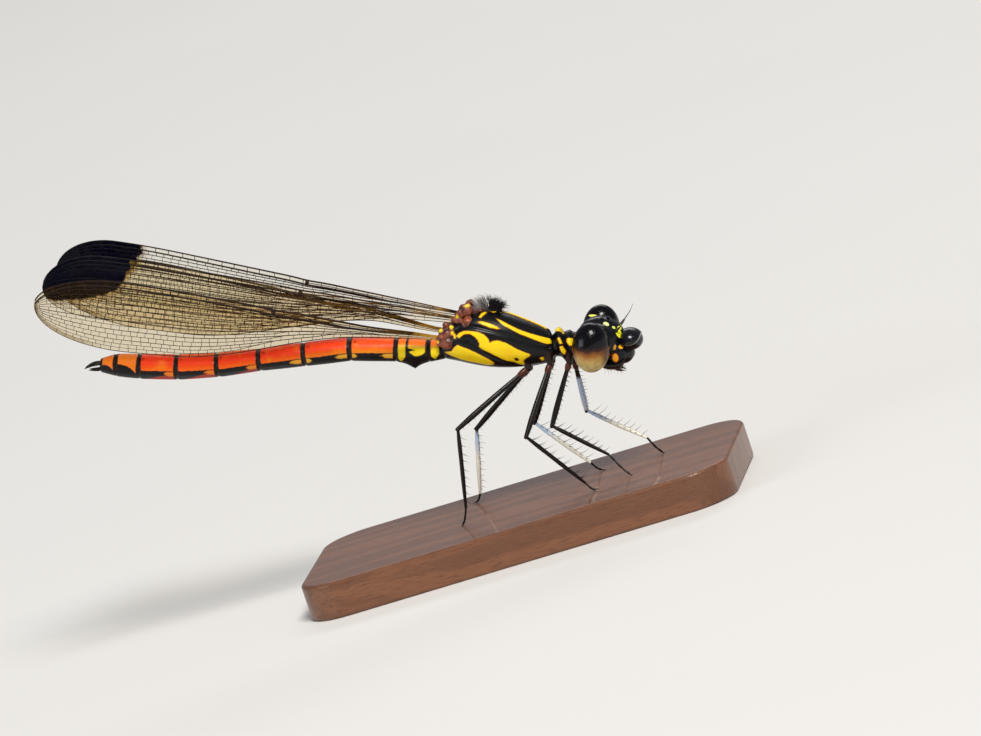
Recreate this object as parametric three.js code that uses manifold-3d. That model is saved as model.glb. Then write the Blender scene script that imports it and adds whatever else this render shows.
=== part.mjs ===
// A life-size male jewel damselfly that stands on a small flat display base.
// Millimetres, +Z up. The head points to +X and the wings are folded up over the abdomen.
// The origin is the centre of the base's underside. The body is placed in its own frame,
// whose origin lies in the middle of the thorax, above the base.
import * as THREE from "three";
import { mergeVertices } from "three/addons/utils/BufferGeometryUtils.js";
import Module from "manifold-3d";

const wasm = await Module();
wasm.setup();

// Places of the body on its base
const gap = 0.15; // air between neighbouring pieces of so small a body
const footGap = 0.1; // air under each foot's flat
const floorLevel = -5.6; // the base's top in the body's frame
const bodyShift = 0.5; // the body's origin ahead of the base's middle

const base = { length: 18, width: 10, thickness: 1.5, corner: 1.8, bevel: 0.3 };

// Thorax stations from front to rear: x, top, bottom and full width
const thoraxStations = [
  [2.75, 0.75, -0.25, 1.0],
  [2.4, 1.1, -0.4, 1.4],
  [1.8, 1.6, -0.38, 1.8],
  [1.2, 2.05, -0.28, 2.1],
  [0.6, 2.35, -0.12, 2.3],
  [0.0, 2.5, 0.1, 2.35],
  [-0.6, 2.42, 0.4, 2.2],
  [-1.1, 2.1, 0.68, 1.8],
  [-1.48, 1.75, 0.88, 1.25],
];
const thoraxSquareness = 2.3; // exponent of the section's rounded outline

// Prothorax stations: x, top, bottom and full width
const prothoraxStations = [
  [2.9, 0.6, -0.4, 1.05],
  [3.1, 0.7, -0.55, 1.3],
  [3.4, 0.55, -0.6, 1.25],
  [3.6, 0.45, -0.55, 1.0],
  [3.95, 0.3, -0.45, 0.8],
];

// Abdomen, from the thorax to the tip: length and upward pitch of each segment
const abdomenStart = { x: -1.62, z: 1.27 };
const segmentLengths = [0.5, 1.32, 1.86, 1.87, 1.83, 1.72, 1.65, 1.53, 0.95, 0.64];
const segmentPitches = [13, 18.6, 17.5, 10.2, 10.1, 9.7, 14, 18.3, 20.3, 15.3];
const jointHeights = [0.76, 0.88, 0.96, 0.94, 0.93, 0.87, 0.94, 0.99, 0.98, 0.88, 0.52];
const jointWidths = [1.0, 1.1, 1.2, 1.25, 1.3, 1.32, 1.34, 1.3, 1.2, 1.0, 0.6];
const segmentSwell = 1.04; // the middle of a segment against its ends
const genitalLobe = { x: -2.8, z: 1.08, radii: [0.3, 0.22, 0.33] };
const cercus = { length: 0.75, root: 0.17, tip: 0.08, side: 0.2, spread: 8, droop: 14 };

// Head: place, turns in degrees, and its forms as centre and half sizes
// forward, to the left and up
const headPlace = new THREE.Vector3(4.45, 0, -0.1);
const headTurns = { noseDown: 18, toRight: 3.5, leftUp: 4 };
const skull = { centre: [0.2, 0, 0], radii: [0.9, 1.2, 0.88] };
const eye = { centre: [0, 1.3, 0], radii: [0.76, 0.7, 1.02] };
const eyeInnerFace = 0.85; // the flat that parts an eye from the head
const clypeus = { centre: [1.38, 0, 0.01], radii: [0.55, 0.62, 0.47] };
const labrum = { centre: [1.2, 0, -0.72], radii: [0.36, 0.5, 0.34] };
const labium = { centre: [0.55, 0, -1.08], radii: [0.68, 0.52, 0.34] };
const antenna = { root: [0.85, 0.45, 0.4], length: 1.1, thick: 0.25, tip: 0.1, rise: 48, spread: 22 };

// Legs: where each one's trochanter, knee, ankle and toe are
const legJoints = {
  front_left: [[3.25, 0.4, -0.8], [2.86, 1.75, -3.07], [4.9, 1.4, -4.78], [5.3, 1.5, -5.55]],
  front_right: [[3.2, -0.4, -0.65], [1.78, -0.9, -2.82], [3.6, -0.9, -4.6], [4.2, -1.2, -5.55]],
  middle_left: [[2.4, 0.5, -0.55], [0.69, 1.79, -2.94], [2.4, 1.45, -5.05], [2.68, 1.7, -5.55]],
  middle_right: [[2.45, -0.5, -0.5], [0.84, -2.03, -2.75], [2.5, -1.9, -5.15], [2.85, -2.3, -5.55]],
  hind_left: [[1.45, 0.45, -0.5], [-1.62, 1.69, -2.47], [-2.45, 2.4, -5.05], [-2.8, 2.9, -5.55]],
  hind_right: [[1.5, -0.45, -0.48], [-1.71, -1.87, -1.68], [-2.5, -1.43, -4.9], [-2.85, -1.3, -5.55]],
};
const coxaRadius = 0.34;
const coxaRise = 0.5; // from the trochanter up into the thorax
const femurRadii = [0.25, 0.28, 0.25];
const tibiaRadii = [0.25, 0.25, 0.25];
const tarsusRadii = [0.25, 0.22, 0.17];

// Wings: root, pitch and length, with the outline above and below the wing's own axis
const slabThickness = 0.5;
const veinRise = 0.1; // height of the main veins over the membrane
const veinLanes = [0.16, 0.36, 0.56, 0.76]; // main veins across the wing, trailing edge at 0
const veinHalfWidth = 0.035; // as a share of the wing's breadth
const marginWidth = 0.05;
const wingStations = 17;
const petiole = 0.25; // least half breadth of the solid near the root
const foreWing = {
  root: [-0.64, 0.55, 2.38], pitch: 22.5, length: 16.5, start: 0.3,
  upper: { root: 0.1, slope: 0.1, most: 1.45, capFrom: 14.2 },
  lower: { root: 0.13, most: 1.12, from: 2, to: 9, capFrom: 14 },
  aside: (u) => 0.075 * u,
};
const hindWing = {
  root: [-1.49, 0.8, 1.91], pitch: 23.3, length: 16.06, start: 0.25,
  upper: { root: 0.05, slope: 0.095, most: 1.2, capFrom: 13 },
  lower: { root: 0.1, most: 1.6, from: 2.5, to: 10.5, capFrom: 12.2 },
  aside: (u) => 0.9 * smoothStep(u / 3.2) + 0.95 * Math.max(0, (u - 3.2) / 12.86),
};
const foreHinge = { centre: [-0.56, 0.68, 2.42], radii: [0.36, 0.28, 0.42] };
const hindHinge = { centre: [-1.24, 0.82, 1.72], radii: [0.3, 0.3, 0.42] };

// Bristly tuft on top of the thorax: a low core with tapered locks that stand in a fan
const tuft = { centre: [0.64, 0, 2.3], radii: [0.74, 0.36, 0.3], slope: 20 };
const tuftLocks = { rows: 3, perRow: 6, length: 0.52, thick: 0.12, tip: 0.05, fan: 62, aside: 30 };

const colours = {
  black: 0x14161a, orange: 0xd9641e, red: 0xb3301a, yellow: 0xe0c32c, brown: 0x8a4a24,
  clear: 0xb9b6a4, eye: 0x3a2c20, hair: 0x4a4a4e, pale: 0xb9c4cf, wood: 0x6b3f24,
};

const degrees = THREE.MathUtils.degToRad;
const vector = (values) => new THREE.Vector3(...values);

function smoothStep(t) {
  const s = Math.min(Math.max(t, 0), 1);
  return s * s * (3 - 2 * s);
}

// A solid from points and triangles, turned right side out
function solidOf(points, triangles) {
  let volume = 0;
  for (let i = 0; i < triangles.length; i += 3) {
    const [a, b, c] = [points[triangles[i]], points[triangles[i + 1]], points[triangles[i + 2]]];
    volume += a.dot(b.clone().cross(c));
  }
  const facing = volume < 0 ? [...triangles].reverse() : triangles;
  return new wasm.Manifold(new wasm.Mesh({
    numProp: 3,
    vertProperties: new Float32Array(points.flatMap((p) => [p.x, p.y, p.z])),
    triVerts: new Uint32Array(facing),
  }));
}

// Rings of like counts joined in order, each end closed by a fan
function loft(rings) {
  const count = rings[0].length;
  const middle = (ring) => ring.reduce((sum, p) => sum.add(p), new THREE.Vector3()).divideScalar(count);
  const points = [...rings.flat(), middle(rings[0]), middle(rings.at(-1))];
  const firstCentre = points.length - 2;
  const lastRing = (rings.length - 1) * count;
  const triangles = [];
  for (let j = 0; j < count; j += 1) {
    const next = (j + 1) % count;
    for (let i = 0; i < lastRing; i += count) {
      triangles.push(i + j, i + next, i + count + next, i + j, i + count + next, i + count + j);
    }
    triangles.push(firstCentre, next, j, firstCentre + 1, lastRing + j, lastRing + next);
  }
  return solidOf(points, triangles);
}

// A rounded outline about a centre, from two half axes
function ring(centre, across, up, sides, squareness = 2) {
  return Array.from({ length: sides }, (_, i) => {
    const angle = (2 * Math.PI * i) / sides;
    const [c, s] = [Math.cos(angle), Math.sin(angle)];
    const reach = (Math.abs(c) ** squareness + Math.abs(s) ** squareness) ** (-1 / squareness);
    return centre.clone().addScaledVector(across, c * reach).addScaledVector(up, s * reach);
  });
}

// A bag of upright sections along X, each with x, top, bottom and width
function sectionBody(stations, sides, squareness, grow = 0) {
  const last = stations.length - 1;
  const ahead = Math.sign(stations[0][0] - stations[last][0]) * grow;
  return loft(stations.map(([x, top, bottom, width], i) => {
    const end = i === 0 ? ahead : i === last ? -ahead : 0;
    const across = new THREE.Vector3(0, width / 2 + grow, 0);
    const up = new THREE.Vector3(0, 0, (top - bottom) / 2 + grow);
    return ring(new THREE.Vector3(x + end, 0, (top + bottom) / 2), across, up, sides, squareness);
  }));
}

function ellipsoid(centre, radii, frame = new THREE.Matrix4(), grow = 0, around = 16, along = 10) {
  const sphere = new THREE.SphereGeometry(1, around, along);
  sphere.deleteAttribute("normal");
  sphere.deleteAttribute("uv");
  sphere.scale(radii[0] + grow, radii[1] + grow, radii[2] + grow);
  sphere.translate(...centre);
  sphere.applyMatrix4(frame);
  const closed = mergeVertices(sphere);
  const place = closed.getAttribute("position");
  const points = Array.from({ length: place.count }, (_, i) => new THREE.Vector3().fromBufferAttribute(place, i));
  return solidOf(points, [...closed.index.array]);
}

// A round limb along a path, domed at both ends
function limb(path, radii, grow = 0, sides = 8) {
  const rings = [];
  const domeAngles = [45];
  const direction = (i) => {
    const [from, to] = [path[Math.max(i - 1, 0)], path[Math.min(i + 1, path.length - 1)]];
    return to.clone().sub(from).normalize();
  };
  const side = new THREE.Vector3(0, 1, 0);
  if (Math.abs(direction(0).y) > 0.8) side.set(1, 0, 0);
  const place = (i, shift, radius) => {
    const along = direction(i);
    const across = new THREE.Vector3().crossVectors(along, side).normalize();
    const up = new THREE.Vector3().crossVectors(along, across);
    const centre = path[i].clone().addScaledVector(along, shift);
    rings.push(ring(centre, across.multiplyScalar(radius), up.multiplyScalar(radius), sides));
  };
  const dome = (i, sense, angle) => {
    const radius = radii[i] + grow;
    place(i, sense * radius * Math.sin(degrees(angle)), radius * Math.cos(degrees(angle)));
  };
  const last = path.length - 1;
  domeAngles.forEach((angle) => dome(0, -1, angle));
  path.forEach((_, i) => place(i, 0, radii[i] + grow));
  domeAngles.forEach((angle) => dome(last, 1, angle));
  return loft(rings);
}

// The largest closed surface, without scraps or sealed hollows
function largest(solid) {
  const bodies = solid.decompose();
  return bodies.reduce((best, body) => (body.volume() > best.volume() ? body : best));
}

function without(solid, ...others) {
  return largest(others.reduce((left, other) => left.subtract(other), solid));
}

function union(...solids) {
  return largest(solids.reduce((joined, solid) => joined.add(solid)));
}

const part = new THREE.Group();
const insect = new THREE.Group();
insect.position.set(bodyShift, 0, base.thickness - floorLevel);
part.add(insect);

function addTo(group, name, solid, colour, roughness = 0.4, metalness = 0) {
  const { vertProperties, triVerts } = solid.getMesh();
  const geometry = new THREE.BufferGeometry();
  geometry.setAttribute("position", new THREE.BufferAttribute(new Float32Array(vertProperties), 3));
  geometry.setIndex([...triVerts]);
  const mesh = new THREE.Mesh(geometry, new THREE.MeshStandardMaterial({ color: colour, roughness, metalness }));
  mesh.name = name;
  group.add(mesh);
}
const add = (...piece) => addTo(insect, ...piece);
const sides = { left: 1, right: -1 };
const mirrored = (place, side) => [place[0], place[1] * side, place[2]];

// Display base with rounded corners and an eased top edge
function standBase() {
  const outline = (inset, z) => {
    const corner = base.corner - inset;
    const points = [];
    const quarterSteps = 5;
    [[1, 1], [-1, 1], [-1, -1], [1, -1]].forEach(([x, y], quarter) => {
      for (let i = 0; i <= quarterSteps; i += 1) {
        const angle = (Math.PI / 2) * (quarter + i / quarterSteps);
        const cx = x * (base.length / 2 - base.corner) + corner * Math.cos(angle);
        const cy = y * (base.width / 2 - base.corner) + corner * Math.sin(angle);
        points.push(new THREE.Vector3(cx, cy, z));
      }
    });
    return points;
  };
  return loft([
    outline(0, 0),
    outline(0, base.thickness - base.bevel),
    outline(base.bevel, base.thickness),
  ]);
}
addTo(part, "stand_base", standBase(), colours.wood, 0.5);

// Head, in a frame of its own: forward, left and up
const headFrame = new THREE.Matrix4().makeTranslation(headPlace)
  .multiply(new THREE.Matrix4().makeRotationZ(degrees(-headTurns.toRight)))
  .multiply(new THREE.Matrix4().makeRotationY(degrees(headTurns.noseDown)))
  .multiply(new THREE.Matrix4().makeRotationX(degrees(headTurns.leftUp)));
const headForm = (form, grow = 0, side = 1) => (
  ellipsoid(mirrored(form.centre, side), form.radii, headFrame, grow)
);
const headAxis = (side) => new THREE.Vector3(0, side, 0).transformDirection(headFrame);
const headMiddle = headPlace.clone();

// Keeps what lies further out than a distance along the head's left or right axis
function beyond(solid, side, distance) {
  const normal = headAxis(side);
  return solid.trimByPlane(normal.toArray(), normal.dot(headMiddle) + distance);
}
function within(solid, side, distance) {
  const normal = headAxis(side).negate();
  return solid.trimByPlane(normal.toArray(), normal.dot(headMiddle) - distance);
}

const skullWidth = eyeInnerFace - gap;
const skullBlock = (grow) => within(
  within(headForm(skull, grow), sides.left, skullWidth + grow), sides.right, skullWidth + grow,
);
const eyeBlock = (side, grow) => beyond(headForm(eye, grow, side), side, eyeInnerFace - grow);

add("head", largest(skullBlock(0)), colours.black, 0.25);
for (const [name, side] of Object.entries(sides)) {
  add(`eye_${name}`, largest(eyeBlock(side, 0)), colours.eye, 0.12);
}
add("clypeus", without(headForm(clypeus), skullBlock(gap)), colours.black, 0.12);
add("labrum", without(headForm(labrum), skullBlock(gap), headForm(clypeus, gap)), colours.black, 0.25);
add("labium", without(headForm(labium), skullBlock(gap), headForm(labrum, gap)), colours.black, 0.3);

for (const [name, side] of Object.entries(sides)) {
  const [rise, spread] = [degrees(antenna.rise), degrees(antenna.spread) * side];
  const lean = new THREE.Vector3(Math.cos(rise) * Math.cos(spread), Math.sin(spread), Math.sin(rise));
  const root = vector(mirrored(antenna.root, side));
  const path = [0, 0.5, 1].map((t) => (
    root.clone().addScaledVector(lean, t * antenna.length).applyMatrix4(headFrame)
  ));
  const feeler = limb(path, [antenna.thick, (antenna.thick + antenna.tip) / 2, antenna.tip]);
  const clear = without(feeler, skullBlock(gap), eyeBlock(side, gap), headForm(clypeus, gap));
  add(`antenna_${name}`, clear, colours.black, 0.35);
}

// Prothorax and thorax
const thorax = (grow) => sectionBody(thoraxStations, 20, thoraxSquareness, grow);
const prothorax = (grow) => sectionBody(prothoraxStations, 16, 2, grow);
const neck = without(prothorax(0), skullBlock(gap), eyeBlock(1, gap), eyeBlock(-1, gap), headForm(labium, gap));
add("prothorax", neck, colours.black, 0.25);
add("thorax", thorax(0), colours.black, 0.2);

// Tuft of bristles on the thorax
const tuftFrame = new THREE.Matrix4().makeTranslation(vector(tuft.centre))
  .multiply(new THREE.Matrix4().makeRotationY(degrees(tuft.slope)));
function tuftSolid() {
  const pieces = [ellipsoid([0, 0, 0], tuft.radii, tuftFrame, 0, 12, 7)];
  for (let row = 0; row < tuftLocks.rows; row += 1) {
    const across = row / (tuftLocks.rows - 1) - 0.5;
    for (let i = 0; i < tuftLocks.perRow; i += 1) {
      const along = (i + 0.5 + 0.3 * (row % 2)) / tuftLocks.perRow - 0.5;
      const root = new THREE.Vector3(along * 1.5 * tuft.radii[0], across * tuft.radii[1], 0.08);
      const [lean, aside] = [degrees(2 * along * tuftLocks.fan), degrees(2 * across * tuftLocks.aside)];
      const way = new THREE.Vector3(Math.sin(lean), Math.sin(aside), Math.cos(lean) * Math.cos(aside));
      const length = tuftLocks.length * (0.95 + 0.15 * Math.cos(4 * i + 2 * row));
      const tip = root.clone().addScaledVector(way.normalize(), length);
      const path = [root, tip].map((p) => p.applyMatrix4(tuftFrame));
      pieces.push(limb(path, [tuftLocks.thick, tuftLocks.tip], 0, 5));
    }
  }
  return union(...pieces);
}
add("thorax_tuft", without(tuftSolid(), thorax(gap)), colours.hair, 0.8);

// Abdomen: the centre line turns at each joint, where both segments share one slanted plane
const joints = segmentLengths.reduce((line, length, i) => {
  const pitch = degrees(segmentPitches[i]);
  const from = line.at(-1);
  line.push(new THREE.Vector3(from.x - length * Math.cos(pitch), 0, from.z + length * Math.sin(pitch)));
  return line;
}, [new THREE.Vector3(abdomenStart.x, 0, abdomenStart.z)]);

// Direction of the line at a joint: half way between its two segments
function lineAt(i) {
  const [before, after] = [Math.max(i - 1, 0), Math.min(i, segmentLengths.length - 1)];
  const pitch = degrees((segmentPitches[before] + segmentPitches[after]) / 2);
  return new THREE.Vector3(-Math.cos(pitch), 0, Math.sin(pitch));
}

function abdomenSegment(i) {
  const stations = [0, 0.14, 0.5, 0.86, 1];
  const [from, to] = [joints[i], joints[i + 1]];
  const lastSegment = segmentLengths.length - 1;
  return loft(stations.map((t) => {
    const along = lineAt(i).lerp(lineAt(i + 1), t).normalize();
    const shift = t === 0 ? gap / 2 : t === 1 && i < lastSegment ? -gap / 2 : 0;
    const swell = 1 + (segmentSwell - 1) * Math.sin(Math.PI * t) - (t % 1 === 0 ? 0.05 : 0);
    const height = THREE.MathUtils.lerp(jointHeights[i], jointHeights[i + 1], t) * swell;
    const width = THREE.MathUtils.lerp(jointWidths[i], jointWidths[i + 1], t) * swell;
    const centre = from.clone().lerp(to, t).addScaledVector(along, shift);
    const up = new THREE.Vector3(along.z, 0, -along.x).multiplyScalar(height / 2);
    return ring(centre, new THREE.Vector3(0, width / 2, 0), up, 16, 2.2);
  }));
}

segmentLengths.forEach((_, i) => {
  const lobe = ellipsoid([genitalLobe.x, 0, genitalLobe.z], genitalLobe.radii, undefined, 0, 10, 8);
  const segment = i === 1 ? union(abdomenSegment(i), lobe) : abdomenSegment(i);
  const body = i === 0 ? without(segment, thorax(gap)) : segment;
  add(`abdomen_${i + 1}`, body, i > 7 ? colours.red : colours.orange, 0.3);
});

for (const [name, side] of Object.entries(sides)) {
  const tip = joints.at(-1);
  const path = [0, 0.5, 1].map((t) => {
    const pitch = degrees(segmentPitches.at(-1) - cercus.droop * 2 * t);
    return new THREE.Vector3(
      tip.x + 0.1 - cercus.length * t * Math.cos(pitch),
      side * (cercus.side + t * cercus.length * Math.sin(degrees(cercus.spread))),
      tip.z - 0.02 + cercus.length * t * Math.sin(pitch),
    );
  });
  const clasper = limb(path, [cercus.root, cercus.root * 0.9, cercus.tip], 0, 7);
  const lastJoint = lineAt(segmentLengths.length);
  const clear = clasper.trimByPlane(lastJoint.toArray(), lastJoint.dot(tip) + gap);
  add(`cercus_${name}`, largest(clear), colours.black, 0.4);
}

// Legs: each length is cut clear of what it grows from
const ground = floorLevel + footGap;
for (const [name, places] of Object.entries(legJoints)) {
  const [hip, knee, ankle, toe] = places.map(vector);
  const inside = hip.clone().add(new THREE.Vector3(0, -Math.sign(hip.y) * 0.12, coxaRise));
  const middle = (a, b) => a.clone().lerp(b, 0.5);
  const trunk = [thorax(gap), prothorax(gap)];
  const coxaPath = [inside, hip];
  const coxaRadii = [coxaRadius, coxaRadius];
  const femurPath = [hip, middle(hip, knee), knee];
  const tibiaPath = [knee, middle(knee, ankle), ankle];
  const tarsusPath = [ankle, middle(ankle, toe), toe];
  const coxa = without(limb(coxaPath, coxaRadii), ...trunk);
  const femur = without(limb(femurPath, femurRadii), limb(coxaPath, coxaRadii, gap), ...trunk);
  const tibia = without(limb(tibiaPath, tibiaRadii), limb(femurPath, femurRadii, gap));
  const foot = limb(tarsusPath, tarsusRadii).trimByPlane([0, 0, 1], ground);
  add(`coxa_${name}`, coxa, colours.black, 0.3);
  add(`femur_${name}`, femur, colours.black, 0.3);
  add(`tibia_${name}`, tibia, colours.pale, 0.4);
  add(`tarsus_${name}`, without(foot, limb(tibiaPath, tibiaRadii, gap)), colours.black, 0.4);
}

// Wings: a slab with a rim, its main veins raised from both faces
function wingBreadth(wing, u) {
  const cap = (from) => Math.sqrt(Math.max(0, 1 - Math.max(0, (u - from) / (wing.length - from)) ** 2));
  const upper = Math.min(wing.upper.root + wing.upper.slope * u, wing.upper.most);
  const widening = smoothStep((u - wing.lower.from) / (wing.lower.to - wing.lower.from));
  const lower = THREE.MathUtils.lerp(wing.lower.root, wing.lower.most, widening);
  const least = petiole * cap(wing.upper.capFrom);
  return {
    upper: Math.max(upper * cap(wing.upper.capFrom), least),
    lower: Math.max(lower * cap(wing.lower.capFrom), least),
  };
}

function wingLanes() {
  const around = veinLanes.flatMap((lane) => [
    { lane: lane - veinHalfWidth, rise: 0 }, { lane, rise: veinRise }, { lane: lane + veinHalfWidth, rise: 0 },
  ]);
  return [
    { lane: 0, rise: veinRise }, { lane: marginWidth, rise: 0 },
    ...around,
    { lane: 1 - marginWidth, rise: 0 }, { lane: 1, rise: veinRise },
  ];
}

function wingSolid(wing, side) {
  const pitch = degrees(wing.pitch);
  const outward = new THREE.Vector3(-Math.cos(pitch), 0, Math.sin(pitch));
  const upward = new THREE.Vector3(Math.sin(pitch), 0, Math.cos(pitch));
  const lanes = wingLanes();
  const tipInset = 0.04;
  const ends = [wing.start, wing.length - tipInset];
  // Stations crowd towards the round tip
  const stations = Array.from({ length: wingStations }, (_, i) => {
    const t = i / (wingStations - 1);
    return THREE.MathUtils.lerp(ends[0], ends[1], 1 - (1 - t) ** 1.35);
  });
  const points = [];
  for (const face of [1, -1]) {
    for (const u of stations) {
      const { upper, lower } = wingBreadth(wing, u);
      for (const { lane, rise } of lanes) {
        const v = THREE.MathUtils.lerp(-lower, upper, lane);
        const point = vector(wing.root).addScaledVector(outward, u).addScaledVector(upward, v);
        point.y = side * (wing.root[1] + wing.aside(u)) + face * (slabThickness / 2 + rise);
        points.push(point);
      }
    }
  }
  const width = lanes.length;
  const back = stations.length * width;
  const triangles = [];
  for (let i = 0; i < stations.length - 1; i += 1) {
    for (let j = 0; j < width - 1; j += 1) {
      const corner = i * width + j;
      const [a, b, c, d] = [corner, corner + 1, corner + width + 1, corner + width];
      triangles.push(a, b, c, a, c, d, back + a, back + c, back + b, back + a, back + d, back + c);
    }
  }
  // The rim, walked once round the grid
  const rim = [];
  for (let j = 0; j < width - 1; j += 1) rim.push(j);
  for (let i = 0; i < stations.length - 1; i += 1) rim.push(i * width + width - 1);
  for (let j = width - 1; j > 0; j -= 1) rim.push((stations.length - 1) * width + j);
  for (let i = stations.length - 1; i > 0; i -= 1) rim.push(i * width);
  rim.forEach((a, i) => {
    const b = rim[(i + 1) % rim.length];
    triangles.push(b, a, back + a, b, back + a, back + b);
  });
  return solidOf(points, triangles);
}

for (const [name, side] of Object.entries(sides)) {
  const hinge = (form, grow) => ellipsoid(mirrored(form.centre, side), form.radii, undefined, grow, 12, 8);
  add(`wing_base_fore_${name}`, without(hinge(foreHinge, 0), thorax(gap)), colours.brown, 0.5);
  add(`wing_base_hind_${name}`, without(hinge(hindHinge, 0), thorax(gap)), colours.brown, 0.5);
  const trunk = [thorax(gap), hinge(foreHinge, gap), hinge(hindHinge, gap)];
  add(`wing_fore_${name}`, without(wingSolid(foreWing, side), ...trunk), colours.clear, 0.3);
  add(`wing_hind_${name}`, without(wingSolid(hindWing, side), ...trunk), colours.clear, 0.3);
}

export default part;
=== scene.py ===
import math
import random

import bpy
import numpy as np
from mathutils import Euler, Matrix, Vector


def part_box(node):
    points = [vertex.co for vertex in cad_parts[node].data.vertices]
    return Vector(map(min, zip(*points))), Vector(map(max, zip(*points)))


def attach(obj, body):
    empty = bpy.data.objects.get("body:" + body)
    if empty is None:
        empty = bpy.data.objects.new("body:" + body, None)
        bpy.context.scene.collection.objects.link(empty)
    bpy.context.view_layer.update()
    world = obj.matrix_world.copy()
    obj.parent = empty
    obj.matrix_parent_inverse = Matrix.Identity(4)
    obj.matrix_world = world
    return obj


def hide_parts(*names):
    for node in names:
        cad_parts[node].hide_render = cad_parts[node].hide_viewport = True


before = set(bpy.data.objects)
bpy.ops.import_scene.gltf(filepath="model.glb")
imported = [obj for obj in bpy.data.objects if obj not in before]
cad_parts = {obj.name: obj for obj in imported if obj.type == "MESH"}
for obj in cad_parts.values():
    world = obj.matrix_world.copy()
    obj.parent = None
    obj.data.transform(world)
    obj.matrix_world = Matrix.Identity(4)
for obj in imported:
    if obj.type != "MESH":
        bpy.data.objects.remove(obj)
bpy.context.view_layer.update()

# Sizes are millimetres in the body's own frame, whose origin lies in the middle of the thorax.
# The head points to +X and the insect's left side is +Y. A piece is moved into the row's frame,
# and to metres, when it is finished.
MM = 0.001
BODY = Vector((0.5, 0, 7.1))
GROUND = -5.6

# Thorax: place along X, top, bottom and full width
THORAX = [
    (2.75, 0.75, -0.25, 1.0), (2.4, 1.1, -0.4, 1.4), (1.8, 1.6, -0.38, 1.8),
    (1.2, 2.05, -0.28, 2.1), (0.6, 2.35, -0.12, 2.3), (0.0, 2.5, 0.1, 2.35),
    (-0.6, 2.42, 0.4, 2.2), (-1.1, 2.1, 0.68, 1.8), (-1.55, 1.7, 0.9, 1.15),
]
PROTHORAX = [
    (3.95, 0.3, -0.45, 0.8), (3.6, 0.45, -0.55, 1.0), (3.4, 0.55, -0.6, 1.25),
    (3.1, 0.7, -0.55, 1.3), (2.9, 0.6, -0.4, 1.1), (2.7, 0.5, -0.3, 0.9),
]

# Abdomen: where it starts, then length and upward pitch of each segment,
# and the height and width at each joint
ABDOMEN_START = Vector((-1.5, 0, 1.27))
LENGTHS = [0.62, 1.32, 1.86, 1.87, 1.83, 1.72, 1.65, 1.53, 0.95, 0.64]
PITCHES = [13, 18.6, 17.5, 10.2, 10.1, 9.7, 14, 18.3, 20.3, 15.3]
HEIGHTS = [0.76, 0.88, 0.96, 0.94, 0.93, 0.87, 0.94, 0.99, 0.98, 0.88, 0.52]
WIDTHS = [1.0, 1.1, 1.2, 1.25, 1.3, 1.32, 1.34, 1.3, 1.2, 1.0, 0.6]

# Head: its place and turns, nose down, to the right and left side up
HEAD = Vector((4.45, 0, -0.1))
HEAD_TURN = Euler((math.radians(4), math.radians(18), math.radians(-3.5)))

# Legs: trochanter, knee, ankle and toe
LEGS = {
    "front_left": [(3.25, 0.4, -0.8), (2.86, 1.75, -3.07), (4.9, 1.4, -4.78), (5.3, 1.5, GROUND)],
    "front_right": [(3.2, -0.4, -0.6), (1.78, -0.9, -2.82), (3.6, -0.9, -4.6), (4.2, -1.2, GROUND)],
    "middle_left": [(2.4, 0.5, -0.5), (0.69, 1.79, -2.94), (2.4, 1.45, -5.1), (2.68, 1.7, GROUND)],
    "middle_right": [
        (2.45, -0.5, -0.42), (0.84, -2.03, -2.75), (2.5, -1.9, -5.25), (2.85, -2.3, GROUND),
    ],
    "hind_left": [(1.45, 0.45, -0.5), (-1.62, 1.69, -2.47), (-2.45, 2.4, -5.15), (-2.8, 2.9, GROUND)],
    "hind_right": [
        (1.55, -0.45, -0.35), (-1.71, -1.87, -1.68), (-2.5, -1.43, -4.91), (-2.85, -1.3, GROUND),
    ],
}

# Wings: root, pitch and length, and how far to the side the wing's plane runs. Above its own axis
# the outline has a height at the root, a slope, a greatest height and a place where the tip rounds
# off. Below it are the depth at the root, the greatest depth, where that sets in and is reached,
# and where the tip rounds off.
FORE_WING = {
    "root": Vector((-0.64, 0.55, 2.38)), "pitch": 22.5, "length": 16.5,
    "upper": (0.1, 0.1, 1.45, 14.2), "lower": (0.13, 1.12, 2, 9, 14), "nodus": 6.2,
    "aside": lambda u: 0.075 * u,
}
HIND_WING = {
    "root": Vector((-1.49, 0.8, 1.91)), "pitch": 23.3, "length": 16.06,
    "upper": (0.05, 0.095, 1.2, 13), "lower": (0.1, 1.6, 2.5, 10.5, 12.2), "nodus": 6.5,
    "aside": lambda u: 0.9 * smooth_step(u / 3.2) + 0.95 * np.maximum(0, (u - 3.2) / 12.86),
}
SIDES = {"left": 1, "right": -1}


def smooth_step(t):
    """Rises smoothly from 0 at 0 to 1 at 1."""
    s = np.clip(t, 0, 1)
    return s * s * (3 - 2 * s)


def hump(offset, width):
    """1 where the offset is 0, falling off smoothly over the width."""
    return np.exp(-((offset / width) ** 2))


# Camera, at the photograph's angle, with its 981 by 736 frame over 39.24 mm
IMAGE = (981, 736)
PIXELS_PER_MM = 25
AZIMUTH, ELEVATION, ROLL = (math.radians(v) for v in (10, 9, 18.5))
LENS, SENSOR = 400, 36


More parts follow.
